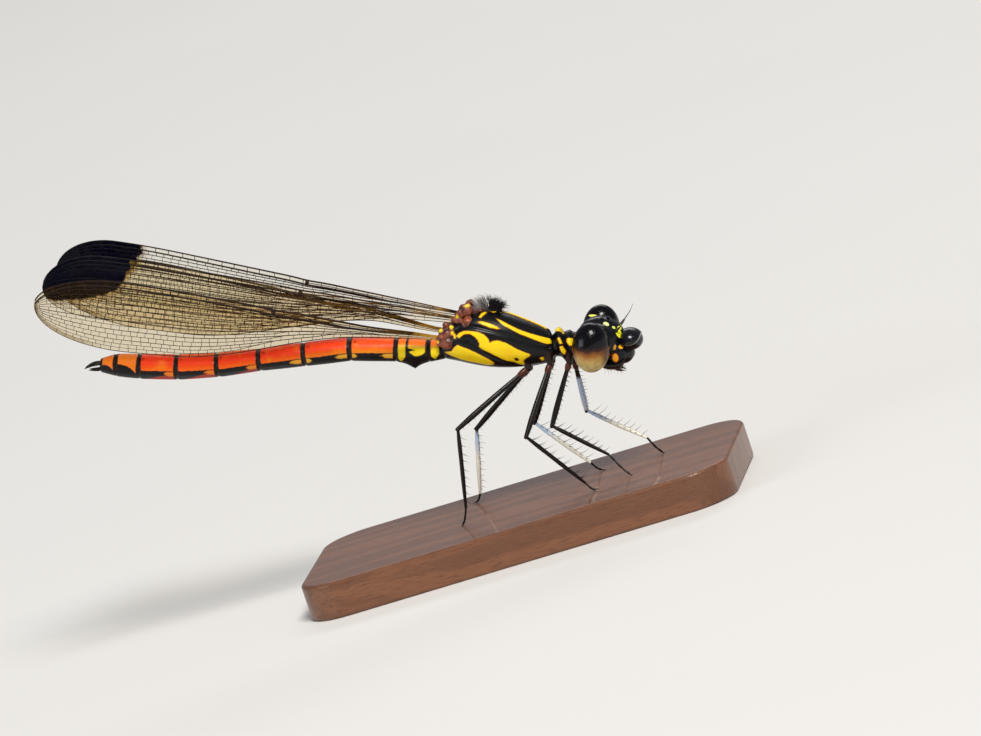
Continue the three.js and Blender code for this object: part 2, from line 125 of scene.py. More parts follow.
def add_camera():
    back = Vector((
        math.sin(AZIMUTH) * math.cos(ELEVATION),
        -math.cos(AZIMUTH) * math.cos(ELEVATION),
        math.sin(ELEVATION),
    ))
    level = Vector((math.cos(AZIMUTH), math.sin(AZIMUTH), 0))
    right = math.cos(ROLL) * level - math.sin(ROLL) * back.cross(level)
    up = back.cross(right)
    distance = LENS / SENSOR * IMAGE[0] / PIXELS_PER_MM * MM
    bpy.ops.object.camera_add()
    camera = bpy.context.object
    turn = Matrix((right, up, back)).transposed().to_4x4()
    camera.matrix_world = Matrix.Translation(BODY * MM + back * distance) @ turn
    camera.data.lens = LENS
    camera.data.sensor_width = SENSOR
    camera.data.clip_start = 0.01
    camera.data.clip_end = 10
    bpy.context.scene.camera = camera


# Materials
class Wire:
    """An output socket of a material's nodes. Sums written on it add Math nodes."""

    def __init__(self, socket):
        self.socket = socket
        self.tree = socket.id_data

    def math(self, operation, *values):
        return add_node(self.tree, "ShaderNodeMath", {"operation": operation}, dict(enumerate(values)))

    def __add__(self, other):
        return self.math("ADD", self, other)

    def __radd__(self, other):
        return self.math("ADD", other, self)

    def __sub__(self, other):
        return self.math("SUBTRACT", self, other)

    def __rsub__(self, other):
        return self.math("SUBTRACT", other, self)

    def __mul__(self, other):
        return self.math("MULTIPLY", self, other)

    def __truediv__(self, other):
        return self.math("DIVIDE", self, other)

    def __pow__(self, other):
        return self.math("POWER", self, other)

    def __abs__(self):
        return self.math("ABSOLUTE", self)

    def most(self, other):
        """The greater of two values."""
        return self.math("MAXIMUM", self, other)

    def wave(self):
        return self.math("SINE", self)

    def step(self, low, high):
        """Rises smoothly from 0 at low to 1 at high."""
        settings = {"interpolation_type": "SMOOTHSTEP"}
        return add_node(self.tree, "ShaderNodeMapRange", settings, {0: self, 1: low, 2: high})

    def between(self, low, high, soft):
        """1 from low to high, with soft borders."""
        return self.step(low - soft, low + soft) * (1 - self.step(high - soft, high + soft))

    def axes(self):
        """The three numbers of a vector."""
        split = add_node(self.tree, "ShaderNodeSeparateXYZ", {}, {0: self}).socket.node
        return [Wire(output) for output in split.outputs]


def add_node(tree, kind, settings, values, output=0):
    """One node: its settings first, then the values or wires of its sockets."""
    node = tree.nodes.new(kind)
    stops = settings.pop("stops", None)
    for name, value in settings.items():
        setattr(node, name, value)
    if stops:
        ramp = node.color_ramp.elements
        while len(ramp) < len(stops):
            ramp.new(0.5)
        for element, (position, colour) in zip(ramp, stops):
            element.position, element.color = position, (*colour, 1)
    for key, value in values.items():
        socket = node.inputs[key]
        if isinstance(value, Wire):
            tree.links.new(value.socket, socket)
        elif isinstance(value, tuple) and len(value) == 3 and socket.type == "RGBA":
            socket.default_value = (*value, 1)
        else:
            socket.default_value = value
    return Wire(node.outputs[output])


class Paint:
    """A material with one Principled shader, and the sockets that patterns start from."""

    def __init__(self, name, **constants):
        self.material = bpy.data.materials.new(name)
        self.material.use_nodes = True
        self.tree = self.material.node_tree
        self.shader = self.tree.nodes["Principled BSDF"]
        for socket, value in constants.items():
            self.shader.inputs[socket.replace("_", " ")].default_value = value

    def node(self, kind, settings, values, output=0):
        return add_node(self.tree, kind, settings, values, output)

    def place(self, turn=(0, 0, 0), origin=(0, 0, 0)):
        """Object coordinates in millimetres, from an origin and turn in the row's frame."""
        coordinates = self.node("ShaderNodeTexCoord", {}, {}, "Object")
        values = {"Vector": coordinates, "Location": tuple(Vector(origin) * MM), "Rotation": tuple(turn)}
        values["Scale"] = (MM, MM, MM)
        return self.node("ShaderNodeMapping", {"vector_type": "TEXTURE"}, values)

    def head_place(self):
        """The same in the head's own frame."""
        return self.place(HEAD_TURN, BODY + HEAD)

    def attribute(self, name):
        return self.node("ShaderNodeAttribute", {"attribute_name": name}, {}, "Vector")

    def number(self, name):
        return self.node("ShaderNodeAttribute", {"attribute_name": name}, {}, "Fac")

    def noise(self, where, scale, detail=3, rough=0.55):
        values = {"Vector": where, "Scale": scale, "Detail": detail, "Roughness": rough}
        return self.node("ShaderNodeTexNoise", {}, values, "Fac")

    def cells(self, where, scale, feature="F1"):
        settings = {"feature": feature}
        return self.node("ShaderNodeTexVoronoi", settings, {"Vector": where, "Scale": scale}, "Distance")

    def mix(self, mask, under, over):
        values = {0: mask, 6: under, 7: over}
        return self.node("ShaderNodeMix", {"data_type": "RGBA"}, values, 2)

    def bump(self, height, distance, strength=1.0):
        """Height in shares of a distance in millimetres."""
        values = {"Height": height, "Distance": distance * MM, "Strength": strength}
        return self.node("ShaderNodeBump", {}, values)

    def film(self, tint, seen):
        """Lets what is behind show through with a tint, except where seen is 1."""
        clear = self.node("ShaderNodeBsdfTransparent", {}, {"Color": tint})
        values = {0: seen, 1: clear, 2: Wire(self.shader.outputs[0])}
        mixed = self.node("ShaderNodeMixShader", {}, values)
        self.tree.links.new(mixed.socket, self.tree.nodes["Material Output"].inputs["Surface"])
        return self.material

    def set(self, **wires):
        for socket, value in wires.items():
            target = self.shader.inputs[socket.replace("_", " ")]
            if isinstance(value, Wire):
                self.tree.links.new(value.socket, target)
            elif isinstance(value, tuple):
                target.default_value = (*value, 1)
            else:
                target.default_value = value
        return self.material


BLACK = (0.002, 0.002, 0.003)
YELLOW = (0.9, 0.64, 0.004)
PALE_YELLOW = (0.86, 0.8, 0.1)
RED = (0.88, 0.035, 0.002)
ORANGE = (0.94, 0.13, 0.003)
AMBER = (0.9, 0.42, 0.005)


def shell_relief(paint, where, fine=0.5):
    """Fine grain and shallow dimples of chitin."""
    grain = paint.noise(where, 9, 4)
    dimples = paint.cells(where, 16).step(0.05, 0.35)
    return grain * fine + dimples * 0.5


def thorax_paint():
    """Glossy black with yellow markings, whose edge distance is an attribute of the skin."""
    paint = Paint("thorax_black_and_yellow", Specular_IOR_Level=0.22)
    where = paint.place()
    inside = paint.number("marking") + (paint.noise(where, 14, 3) - 0.5) * 0.06
    mask = inside.step(-0.02, 0.025)
    edge = inside.step(-0.07, 0.0) * (1 - mask)
    tone = paint.noise(where, 1.6, 2)
    yellow = paint.mix(tone.step(0.5, 0.8) * 0.7, YELLOW, AMBER)
    yellow = paint.mix(inside.step(0.0, 0.04), AMBER, yellow)
    dark = paint.mix(edge * 0.6, BLACK, (0.05, 0.009, 0.003))
    colour = paint.mix(mask, dark, yellow)
    relief = shell_relief(paint, where) + mask * 0.3
    rough = 0.24 + paint.noise(where, 5, 2) * 0.14 + mask * 0.12
    return paint.set(Base_Color=colour, Roughness=rough, Coat_Weight=0.12, Normal=paint.bump(relief, 0.012))


def abdomen_paint():
    """Red above and orange below, with black rings and a black wedge along each segment."""
    paint = Paint("abdomen_orange_and_black", Specular_IOR_Level=0.22)
    where = paint.place()
    share, depth, side = paint.attribute("skin").axes()
    near_joint, segment, _ = paint.attribute("ends").axes()
    wobble = (paint.noise(where, 7, 3) - 0.5) * 0.16
    level = depth + wobble * 0.5
    # 1 from the third segment on, 0 on the first two
    long_segments = segment.step(1.4, 1.6)
    last_two = segment.step(7.4, 7.6)
    rear = segment.step(3.4, 5.6)
    top = paint.mix(segment.step(0.5, 4.0), (0.84, 0.09, 0.004), RED)
    low = paint.mix(segment.step(1.5, 4.5), (0.9, 0.26, 0.008), ORANGE)
    body = paint.mix(level.step(0.22, 0.56), top, low)
    streak = paint.noise(where, 2.2, 4)
    body = paint.mix(streak.step(0.5, 0.8) * 0.3, body, AMBER)
    # The wedge is thick behind and comes to a point in front
    upper_edge = 0.54 + share * 0.015
    lower_edge = 0.6 + share * 0.44 + (1 - rear) * 0.32
    wedge = level.step(upper_edge - 0.015, upper_edge + 0.015)
    wedge = wedge * (1 - level.step(lower_edge - 0.03, lower_edge + 0.03))
    wedge = wedge * (share + wobble).step(0.02, 0.1)
    below = paint.mix(rear, (0.012, 0.004, 0.003), (0.4, 0.02, 0.004))
    front_patch = 1 - (share + wobble + abs(level - 0.66) * 0.9).step(0.27, 0.36)
    rear_patch = (share - abs(level - 0.68) * 0.5).step(0.8, 0.86) * (1 - segment.step(3.4, 3.6))
    patch = front_patch.most(rear_patch) * level.between(0.58, 0.77, 0.025)
    under = paint.mix(level.step(0.54, 0.57), body, below)
    painted = paint.mix(wedge, under, BLACK)
    painted = paint.mix(patch, painted, paint.mix(rear, (0.9, 0.44, 0.03), (0.86, 0.2, 0.01)))
    smudge_reach = ((share - 0.88) / 0.045) ** 2 + ((abs(side) - 0.66) / 0.13) ** 2
    smudge = (1 - smudge_reach.step(0.2, 1.3)) * (1 - depth.step(0.3, 0.45)) * long_segments
    painted = paint.mix(smudge * 0.6, painted, (0.2, 0.012, 0.003))
    # Second segment: a band behind, a notched patch in front
    band = share.between(0.7, 0.97, 0.025) * (1 - (level + abs(share - 0.84) * 1.6).step(0.9, 0.96))
    notch = (abs(level - 0.4) + (0.62 - share) * 0.35).step(0.1, 0.06)
    patch_two = share.between(0.1, 0.62, 0.025)
    patch_two = patch_two * (1 - (level + abs(share - 0.34) ** 2 * 3).step(0.62, 0.68))
    second = band.most(patch_two * (1 - notch * share.step(0.36, 0.46)))
    first = share.between(0.3, 0.94, 0.04) * (1 - (level + abs(share - 0.62) * 0.8).step(0.82, 0.9))
    is_first = 1 - segment.step(0.4, 0.6)
    yellow_low = paint.mix(level.step(0.12, 0.36), (0.86, 0.15, 0.005), YELLOW)
    front_mask = first * is_first + second * (1 - is_first)
    front = paint.mix(front_mask, BLACK, yellow_low)
    painted = paint.mix(long_segments, front, painted)
    # Last two segments: orange above a curved black lower half
    border = 0.34 + ((1 - share) ** 3) * 0.5
    tail = paint.mix(level.step(border - 0.03, border + 0.03), (0.87, 0.2, 0.012), BLACK)
    painted = paint.mix(last_two, painted, tail)
    ring = 1 - (near_joint + wobble * 0.25 - level * 0.02).step(0.08, 0.115)
    painted = paint.mix(ring, painted, (0.012, 0.005, 0.004))
    grain = shell_relief(paint, where, 0.8)
    rough = 0.36 + paint.noise(where, 6, 2) * 0.15
    return paint.set(Base_Color=painted, Roughness=rough, Coat_Weight=0.06, Normal=paint.bump(grain, 0.01))


def spot(place, centre, radii):
    """1 inside an oval on the head, in its own forward, left and up directions."""
    forward, left, up = [(axis - at) / reach for axis, at, reach in zip(place, centre, radii)]
    reach = forward ** 2 + left ** 2 + up ** 2
    return 1 - reach.step(0.75, 1.15)


# Pale spots of the head: centre and half sizes, forward, left and up. Each is on both sides.
HEAD_SPOTS = [
    ((-0.25, 0.74, 0.72), (0.17, 0.14, 0.14), PALE_YELLOW),
    ((0.47, 0.41, 0.72), (0.13, 0.1, 0.12), (0.78, 0.86, 0.36)),
    ((0.77, 0.38, 0.58), (0.08, 0.06, 0.08), (0.7, 0.8, 0.14)),
    ((0.99, 0.42, 0.38), (0.17, 0.16, 0.21), (0.95, 0.92, 0.03)),
    ((1.0, 0.2, 0.53), (0.13, 0.15, 0.08), (0.9, 0.9, 0.05)),
    ((1.04, 0.5, -0.2), (0.13, 0.12, 0.11), (0.9, 0.42, 0.01)),
    ((0.87, 0.78, -0.12), (0.08, 0.08, 0.12), (0.88, 0.42, 0.02)),
    ((0.87, 0.7, -0.6), (0.13, 0.12, 0.2), (0.92, 0.34, 0.01)),
]


def head_paint():
    """Glossy black with the pale spots."""
    paint = Paint("head_black", Specular_IOR_Level=0.22)
    where = paint.head_place()
    forward, left, up = where.axes()
    place = (forward, abs(left), up)
    colour = paint.mix(paint.noise(where, 3, 3) * 0.5, BLACK, (0.006, 0.006, 0.012))
    for centre, radii, tone in HEAD_SPOTS:
        colour = paint.mix(spot(place, centre, radii), colour, tone)
    rough = 0.2 + paint.noise(where, 6, 3) * 0.16
    relief = shell_relief(paint, where)
    return paint.set(Base_Color=colour, Roughness=rough, Coat_Weight=0.1, Normal=paint.bump(relief, 0.007))


def nose_paint():
    """Glossy black, with a pale line along the arched seam of the nose plate."""
    paint = Paint("nose_black", Specular_IOR_Level=0.3)
    where = paint.head_place()
    forward, left, up = where.axes()
    arch = abs(0.3 - left ** 2 - up - 0.02)
    line = (1 - arch.step(0.01, 0.035)) * forward.step(1.2, 1.4) * (up + 0.42).step(0.0, 0.15)
    colour = paint.mix(paint.noise(where, 4, 3), BLACK, (0.006, 0.006, 0.01))
    colour = paint.mix(line * 0.7, colour, (0.5, 0.5, 0.42))
    rough = 0.12 + paint.noise(where, 5, 3) * 0.12
    relief = shell_relief(paint, where)
    return paint.set(Base_Color=colour, Roughness=rough, Coat_Weight=0.2, Normal=paint.bump(relief, 0.006))


def mouth_paint():
    """Black in front, dark brown below and behind."""
    paint = Paint("mouth_black_and_brown", Specular_IOR_Level=0.3)
    where = paint.head_place()
    _, _, up = where.axes()
    tone = paint.noise(where, 4, 3)
    brown = (1 - (up + tone * 0.2).step(-1.12, -0.9)) * 0.8
    colour = paint.mix(brown, BLACK, (0.075, 0.024, 0.009))
    rough = 0.24 + tone * 0.2
    relief = shell_relief(paint, where)
    return paint.set(Base_Color=colour, Roughness=rough, Coat_Weight=0.1, Normal=paint.bump(relief, 0.007))


def eye_paint():
    """Black above, cream-brown below, under a fine grid of facets."""
    paint = Paint("compound_eye", Specular_IOR_Level=0.2)
    where = paint.head_place()
    forward, _, up = where.axes()
    level = up + (paint.noise(where, 2.5, 2) - 0.5) * 0.22 - abs(forward) * 0.12
    settings = {"stops": [
        (0.0, (0.4, 0.24, 0.05)), (0.14, (0.72, 0.6, 0.27)), (0.3, (0.6, 0.4, 0.12)),
        (0.42, (0.3, 0.1, 0.014)), (0.5, (0.04, 0.009, 0.003)), (0.57, (0.001, 0.001, 0.002)),
    ]}
    height = (level + 1.1) / 2.2
    colour = paint.node("ShaderNodeValToRGB", settings, {0: height}, "Color")
    mottle = paint.noise(where, 6, 4)
    low = 1 - level.step(-0.35, -0.1)
    colour = paint.mix(mottle.step(0.4, 0.75) * low * 0.4, colour, (0.2, 0.08, 0.02))
    # Darker at the eye's front and back edges: partly the eye's own darker rim, partly painted shade where
    # the eye curves away from the light.
    rim = abs(forward + 0.02).step(0.42, 0.72)
    dark_rim_and_shade = rim * 0.85 * (1 - level.step(-0.15, 0.05))
    colour = paint.mix(dark_rim_and_shade, colour, (0.05, 0.013, 0.004))
    facets = paint.cells(where, 22).step(0.15, 0.6)
    return paint.set(
        Base_Color=colour, Roughness=0.14, Coat_Weight=0.15, Normal=paint.bump(facets, 0.004, 0.6)
    )


def leg_paint():
    """Black outside, with a pale bloom on the inner faces."""
    paint = Paint("leg_black_and_pale", Specular_IOR_Level=0.22)
    where = paint.place()
    pale, along, reddish = paint.attribute("leg").axes()
    dust = paint.noise(where, 12, 4)
    bloom = (pale + (dust - 0.5) * 0.35).step(0.32, 0.62)
    chalk = paint.mix(along.step(0.12, 0.45), (0.6, 0.76, 1.0), (1.0, 0.97, 0.82))
    red = reddish.step(0.3, 0.8)
    colour = paint.mix(dust, (0.002, 0.0015, 0.0015), (0.011, 0.006, 0.004))
    colour = paint.mix(red, colour, (0.07, 0.018, 0.009))
    colour = paint.mix(bloom, colour, chalk)
    rough = 0.3 + bloom * 0.37
    relief = paint.noise(where, 20, 3)
    return paint.set(Base_Color=colour, Roughness=rough, Coat_Weight=0.08, Normal=paint.bump(relief, 0.01))


def membrane_paint(name, tint, amber_film, rim_film):
    """A clear film that tints what is behind it, black with a painted blue sheen where the skin's marking
    says so.
    """
    paint = Paint(name, Specular_IOR_Level=0.1, IOR=1.5)
    where = paint.place()
    along, lane, edge = paint.attribute("wing").axes()
    inside = paint.number("marking") + (paint.noise(where, 5, 4) - 0.5) * 0.22
    black = inside.step(-0.03, 0.05)
    smoke = inside.step(-0.3, 0.05) * 0.3
    rim = (1 - (edge + (paint.noise(where, 3, 3) - 0.5) * 0.1).step(0.1, 0.2)) * along.step(13.0, 14.5)
    rim = rim * (1 - lane.step(0.5, 0.7)) * rim_film
    amber = 1 - along.step(2.0, 12.0)
    tone = paint.noise(where, 0.7, 3).step(0.35, 0.7)
    film = paint.mix(tone, (0.3, 0.17, 0.015), (0.22, 0.14, 0.03))
    film = paint.mix(amber, film, (0.5, 0.22, 0.006))
    # The black tips are faintly blue: a painted sheen for the blue glints on them.
    colour = paint.mix(black, film, (0.001, 0.001, 0.006))
    seen = 0.02 + amber * amber_film + smoke + rim
    ripple = paint.noise(where, 2.4, 3)
    paint.set(Base_Color=colour, Roughness=0.16 + ripple * 0.1, Normal=paint.bump(ripple, 0.05))
    return paint.film(tint, seen * (1 - black) + black)


def vein_paint():
    """Dark brown, amber near the roots and black in the dark wing tips."""
    paint = Paint("wing_veins", Specular_IOR_Level=0.15)
    where = paint.place()
    along, dark, _ = paint.attribute("wing").axes()
    tone = paint.noise(where, 1.5, 3).step(0.3, 0.7) * (1 - dark)
    colour = paint.mix(tone, (0.004, 0.002, 0.0015), (0.03, 0.011, 0.004))
    root = 1 - along.step(0.3, 2.4)
    colour = paint.mix(root * tone * 0.8, colour, (0.5, 0.26, 0.02))
    colour = paint.mix(dark, colour, BLACK)
    relief = paint.noise(where, 22, 3)
    return paint.set(Base_Color=colour, Roughness=0.5, Normal=paint.bump(relief, 0.006))


def hinge_paint():
    """Reddish-brown plates under a fine net of dark lines, with yellow spots."""
    paint = Paint("wing_hinge_brown", Specular_IOR_Level=0.35)
    where = paint.place()
    tone = paint.noise(where, 3, 4)
    colour = paint.mix(tone.step(0.35, 0.65), (0.07, 0.012, 0.006), (0.36, 0.08, 0.028))
    net = paint.cells(where, 4, "DISTANCE_TO_EDGE")
    colour = paint.mix((1 - net.step(0.02, 0.14)) * 0.55, colour, (0.018, 0.004, 0.003))
    yellow = paint.number("marking").step(-0.03, 0.05)
    colour = paint.mix(yellow, colour, YELLOW)
    relief = paint.noise(where, 8, 4)
    rough = 0.32 + tone * 0.2
    return paint.set(Base_Color=colour, Roughness=rough, Coat_Weight=0.3, Normal=paint.bump(relief, 0.03))


def bristle_paint():
    """Black to dark grey, for the feelers."""
    paint = Paint("bristle_black", Specular_IOR_Level=0.3)
    where = paint.place()
    tone = paint.noise(where, 4, 3)
    colour = paint.mix(tone.step(0.4, 0.7), (0.008, 0.006, 0.006), (0.09, 0.08, 0.085))
    relief = paint.noise(where, 30, 2)
    return paint.set(Base_Color=colour, Roughness=0.4 + tone * 0.2, Normal=paint.bump(relief, 0.004))


def tuft_paint():
    """Grey-white plumes behind, a painted sheen, and dark bristles in front."""
    paint = Paint("tuft_grey_and_black", Specular_IOR_Level=0.3)
    where = paint.place()
    streak = paint.noise(where, 8, 3)
    # How pale each bristle is: a painted sheen, grey-white on the rear locks
    pale = (paint.number("pale") + (streak - 0.5) * 0.5).step(0.3, 0.8)
    colour = paint.mix(pale, (0.008, 0.006, 0.007), (0.42, 0.38, 0.37))
    relief = paint.noise(where, 30, 2)
    return paint.set(Base_Color=colour, Roughness=0.45 + streak * 0.2, Normal=paint.bump(relief, 0.004))


def wood_paint():
    """Reddish-brown hardwood with its grain along the base."""
    paint = Paint("stand_hardwood", Specular_IOR_Level=0.4)
    where = paint.place()
    along, across, up = where.axes()
    stretched = paint.node("ShaderNodeCombineXYZ", {}, {0: along * 0.12, 1: across, 2: up})
    warp = paint.noise(stretched, 0.5, 3)
    rings = ((across * 1.3 + up * 0.5 + warp * 9) * 2.2).wave() * 0.5 + 0.5
    fibre = paint.noise(stretched, 14, 4)
    colour = paint.mix(rings.step(0.1, 0.9), (0.15, 0.055, 0.022), (0.21, 0.08, 0.033))
    colour = paint.mix(fibre.step(0.45, 0.75) * 0.6, colour, (0.07, 0.022, 0.01))
    pores = paint.noise(stretched, 40, 2)
    rough = 0.36 + fibre * 0.2
    relief = fibre * 0.5 + pores * 0.5
    return paint.set(Base_Color=colour, Roughness=rough, Coat_Weight=0.35, Normal=paint.bump(relief, 0.03))


def floor_paint():
    paint = Paint("pale_floor", Specular_IOR_Level=0.2)
    where = paint.place()
    tone = paint.noise(where, 0.02, 2)
    colour = paint.mix(tone, (0.76, 0.75, 0.73), (0.8, 0.79, 0.77))
    return paint.set(Base_Color=colour, Roughness=0.7)


# Modelling helpers
def deselect():
    if bpy.context.mode != "OBJECT":
        bpy.ops.object.mode_set(mode="OBJECT")
    bpy.ops.object.select_all(action="DESELECT")


def choose(piece):
    """Makes one piece the only one selected, and the active one."""
    deselect()
    piece.select_set(True)
    bpy.context.view_layer.objects.active = piece


def drawn_out(name, stations, sides):
    """A closed body along X: a ring is extruded from station to station and resized at each one.
    A station is its place along X, its half width, its half height and the height of its middle."""
    deselect()
    x, wide, high, lift = stations[0]
    turn = (0, math.pi / 2, 0)
    bpy.ops.mesh.primitive_circle_add(
        vertices=sides, radius=1, fill_type="NGON", location=(x, 0, lift), rotation=turn
    )
    piece = bpy.context.object
    piece.name = name
    bpy.ops.object.transform_apply(location=True, rotation=True, scale=True)
    bpy.ops.object.mode_set(mode="EDIT")
    bpy.ops.transform.resize(value=(1, wide, high), center_override=(x, 0, lift))
    for next_x, next_wide, next_high, next_lift in stations[1:]:
        move = {"value": (next_x - x, 0, next_lift - lift)}
        bpy.ops.mesh.extrude_region_move(TRANSFORM_OT_translate=move)
        ratio = (1, next_wide / wide, next_high / high)
        bpy.ops.transform.resize(value=ratio, center_override=(next_x, 0, next_lift))
        x, wide, high, lift = next_x, next_wide, next_high, next_lift
    bpy.ops.object.mode_set(mode="OBJECT")
    faces_outward(piece)
    return piece


def faces_outward(piece):
    choose(piece)
    bpy.ops.object.mode_set(mode="EDIT")
    bpy.ops.mesh.select_all(action="SELECT")
    bpy.ops.mesh.normals_make_consistent(inside=False)
    bpy.ops.object.mode_set(mode="OBJECT")


def vertices(piece):
    flat = np.empty(len(piece.data.vertices) * 3)
    piece.data.vertices.foreach_get("co", flat)
    return flat.reshape(-1, 3)


def move_vertices(piece, places):
    piece.data.vertices.foreach_set("co", np.asarray(places, float).ravel())
    piece.data.update()


def normals(piece):
    flat = np.empty(len(piece.data.vertices) * 3)
    piece.data.vertex_normals.foreach_get("vector", flat)
    return flat.reshape(-1, 3)


def remember(piece, name, values):
    """Stores a number or a vector at each vertex for the material."""
    values = np.asarray(values, np.float32)
    if values.ndim == 1:
        attribute = piece.data.attributes.new(name, "FLOAT", "POINT")
        attribute.data.foreach_set("value", values)
    else:
        attribute = piece.data.attributes.new(name, "FLOAT_VECTOR", "POINT")
        attribute.data.foreach_set("vector", values.ravel())


def apply(piece, kind, **settings):
    """Adds a modifier and applies it."""
    choose(piece)
    modifier = piece.modifiers.new(kind, kind)
    for name, value in settings.items():
        setattr(modifier, name, value)
    bpy.ops.object.modifier_apply(modifier=modifier.name)


def subdivided(piece):
    apply(piece, "SUBSURF", levels=1, render_levels=1)


def melted(piece, rounds):
    """Melts overlapping forms into one closed skin."""
    apply(piece, "REMESH", mode="VOXEL", voxel_size=0.024)
    apply(piece, "SMOOTH", factor=0.6, iterations=rounds)


def joined(pieces, name):
    deselect()
    for piece in pieces:
        piece.select_set(True)
    bpy.context.view_layer.objects.active = pieces[0]
    if len(pieces) > 1:
        bpy.ops.object.join()
    pieces[0].name = name
    return pieces[0]


def finished(piece, material, nodes=(), angle=40):
    """Puts a piece in the row's frame in metres, gives it its finish and its body, and hides the CAD nodes
    that it stands in for.
    """
    piece.data.transform(Matrix.Scale(MM, 4) @ Matrix.Translation(BODY) @ piece.matrix_world)
    piece.matrix_world = Matrix.Identity(4)
    piece.data.materials.clear()
    piece.data.materials.append(material)
    choose(piece)
    bpy.ops.object.shade_smooth_by_angle(angle=math.radians(angle))
    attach(piece, "root")
    if nodes:
        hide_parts(*nodes)


def through(points, count):
    """Points on a smooth line through the given ones, evenly spread over its parameter."""
    points = np.asarray(points, float)
    padded = np.vstack([2 * points[0] - points[1], points, 2 * points[-1] - points[-2]])
    found = []
    for t in np.linspace(0, len(points) - 1, count):
        i = min(int(t), len(points) - 2)
        s = t - i
        a, b, c, d = padded[i:i + 4]
        square = (2 * a - 5 * b + 4 * c - d) * s**2
        cube = (3 * b - a - 3 * c + d) * s**3
        found.append(0.5 * (2 * b + (c - a) * s + square + cube))
    return np.array(found)


def squared(piece, stations, exponent):
    """Fills out the corners of round sections to a rounder square."""
    place = vertices(piece)
    wide, high, lift = section_at(stations, place[:, 0])
    across, up = place[:, 1] / wide, (place[:, 2] - lift) / high
    round_reach = np.maximum(np.hypot(across, up), 1e-9)
    c, s = np.abs(across) / round_reach, np.abs(up) / round_reach
    reach = np.maximum(c**exponent + s**exponent, 1e-9) ** (-1 / exponent)
    place[:, 1] = across * reach * wide
    place[:, 2] = lift + up * reach * high
    move_vertices(piece, place)


def section_at(stations, x):
    """Half width, half height and middle height at places along X."""
    table = np.array(sorted(stations))
    return [np.interp(x, table[:, 0], table[:, column]) for column in (1, 2, 3)]


def inside_distance(points, outlines):
    """Distance in from the edge of the nearest outline, negative outside."""
    best = np.full(len(points), -1e3)
    for outline in outlines:
        outline = np.asarray(outline, float)
        inside = np.zeros(len(points), bool)
        nearest = np.full(len(points), 1e3)
        for a, b in zip(outline, np.roll(outline, -1, axis=0)):
            edge = b - a
            t = np.clip(((points - a) @ edge) / (edge @ edge), 0, 1)
            nearest = np.minimum(nearest, np.linalg.norm(points - a - t[:, None] * edge, axis=1))
            crosses = (a[1] > points[:, 1]) != (b[1] > points[:, 1])
            height = points[:, 1] - a[1]
            rise = edge[1] if abs(edge[1]) > 1e-9 else 1e-9
            inside ^= crosses & (points[:, 0] < a[0] + edge[0] * height / rise)
        best = np.maximum(best, np.where(inside, nearest, -nearest))
    return best


# Stand: a block of wood with rounded corners and an eased edge
CORNER_RADIUS = 1.8
EASED_EDGE = 0.14


def add_stand():
    low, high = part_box("stand_base")
    low, high = Vector(low) / MM - BODY, Vector(high) / MM - BODY
    deselect()
    bpy.ops.mesh.primitive_cube_add(size=1, location=(low + high) / 2)
    stand = bpy.context.object
    stand.name = "display_stand"
    stand.scale = high - low
    bpy.ops.object.transform_apply(location=True, rotation=True, scale=True)
    bpy.ops.object.mode_set(mode="EDIT")
    bpy.ops.mesh.select_mode(type="EDGE")
    bpy.ops.mesh.select_all(action="DESELECT")
    bpy.ops.object.mode_set(mode="OBJECT")
    for edge in stand.data.edges:
        ends = [stand.data.vertices[i].co for i in edge.vertices]
        edge.select = abs(ends[0].z - ends[1].z) > 1
    bpy.ops.object.mode_set(mode="EDIT")
    bpy.ops.mesh.bevel(offset=CORNER_RADIUS, segments=10, affect="EDGES")
    bpy.ops.mesh.select_mode(type="FACE")
    bpy.ops.mesh.select_all(action="DESELECT")
    bpy.ops.object.mode_set(mode="OBJECT")
    for face in stand.data.polygons:
        face.select = face.normal.z > 0.9
    bpy.ops.object.mode_set(mode="EDIT")
    # A ring round the flat top keeps the smooth shading of the eased edge off it
    bpy.ops.mesh.inset(thickness=EASED_EDGE + 0.02, depth=0)
    bpy.ops.object.mode_set(mode="OBJECT")
    # The outer rim of the top and the foot of the sides are eased
    sharp = math.radians(50)
    apply(stand, "BEVEL", width=EASED_EDGE, segments=4, limit_method="ANGLE", angle_limit=sharp)
    finished(stand, wood_paint(), ["stand_base"], 35)


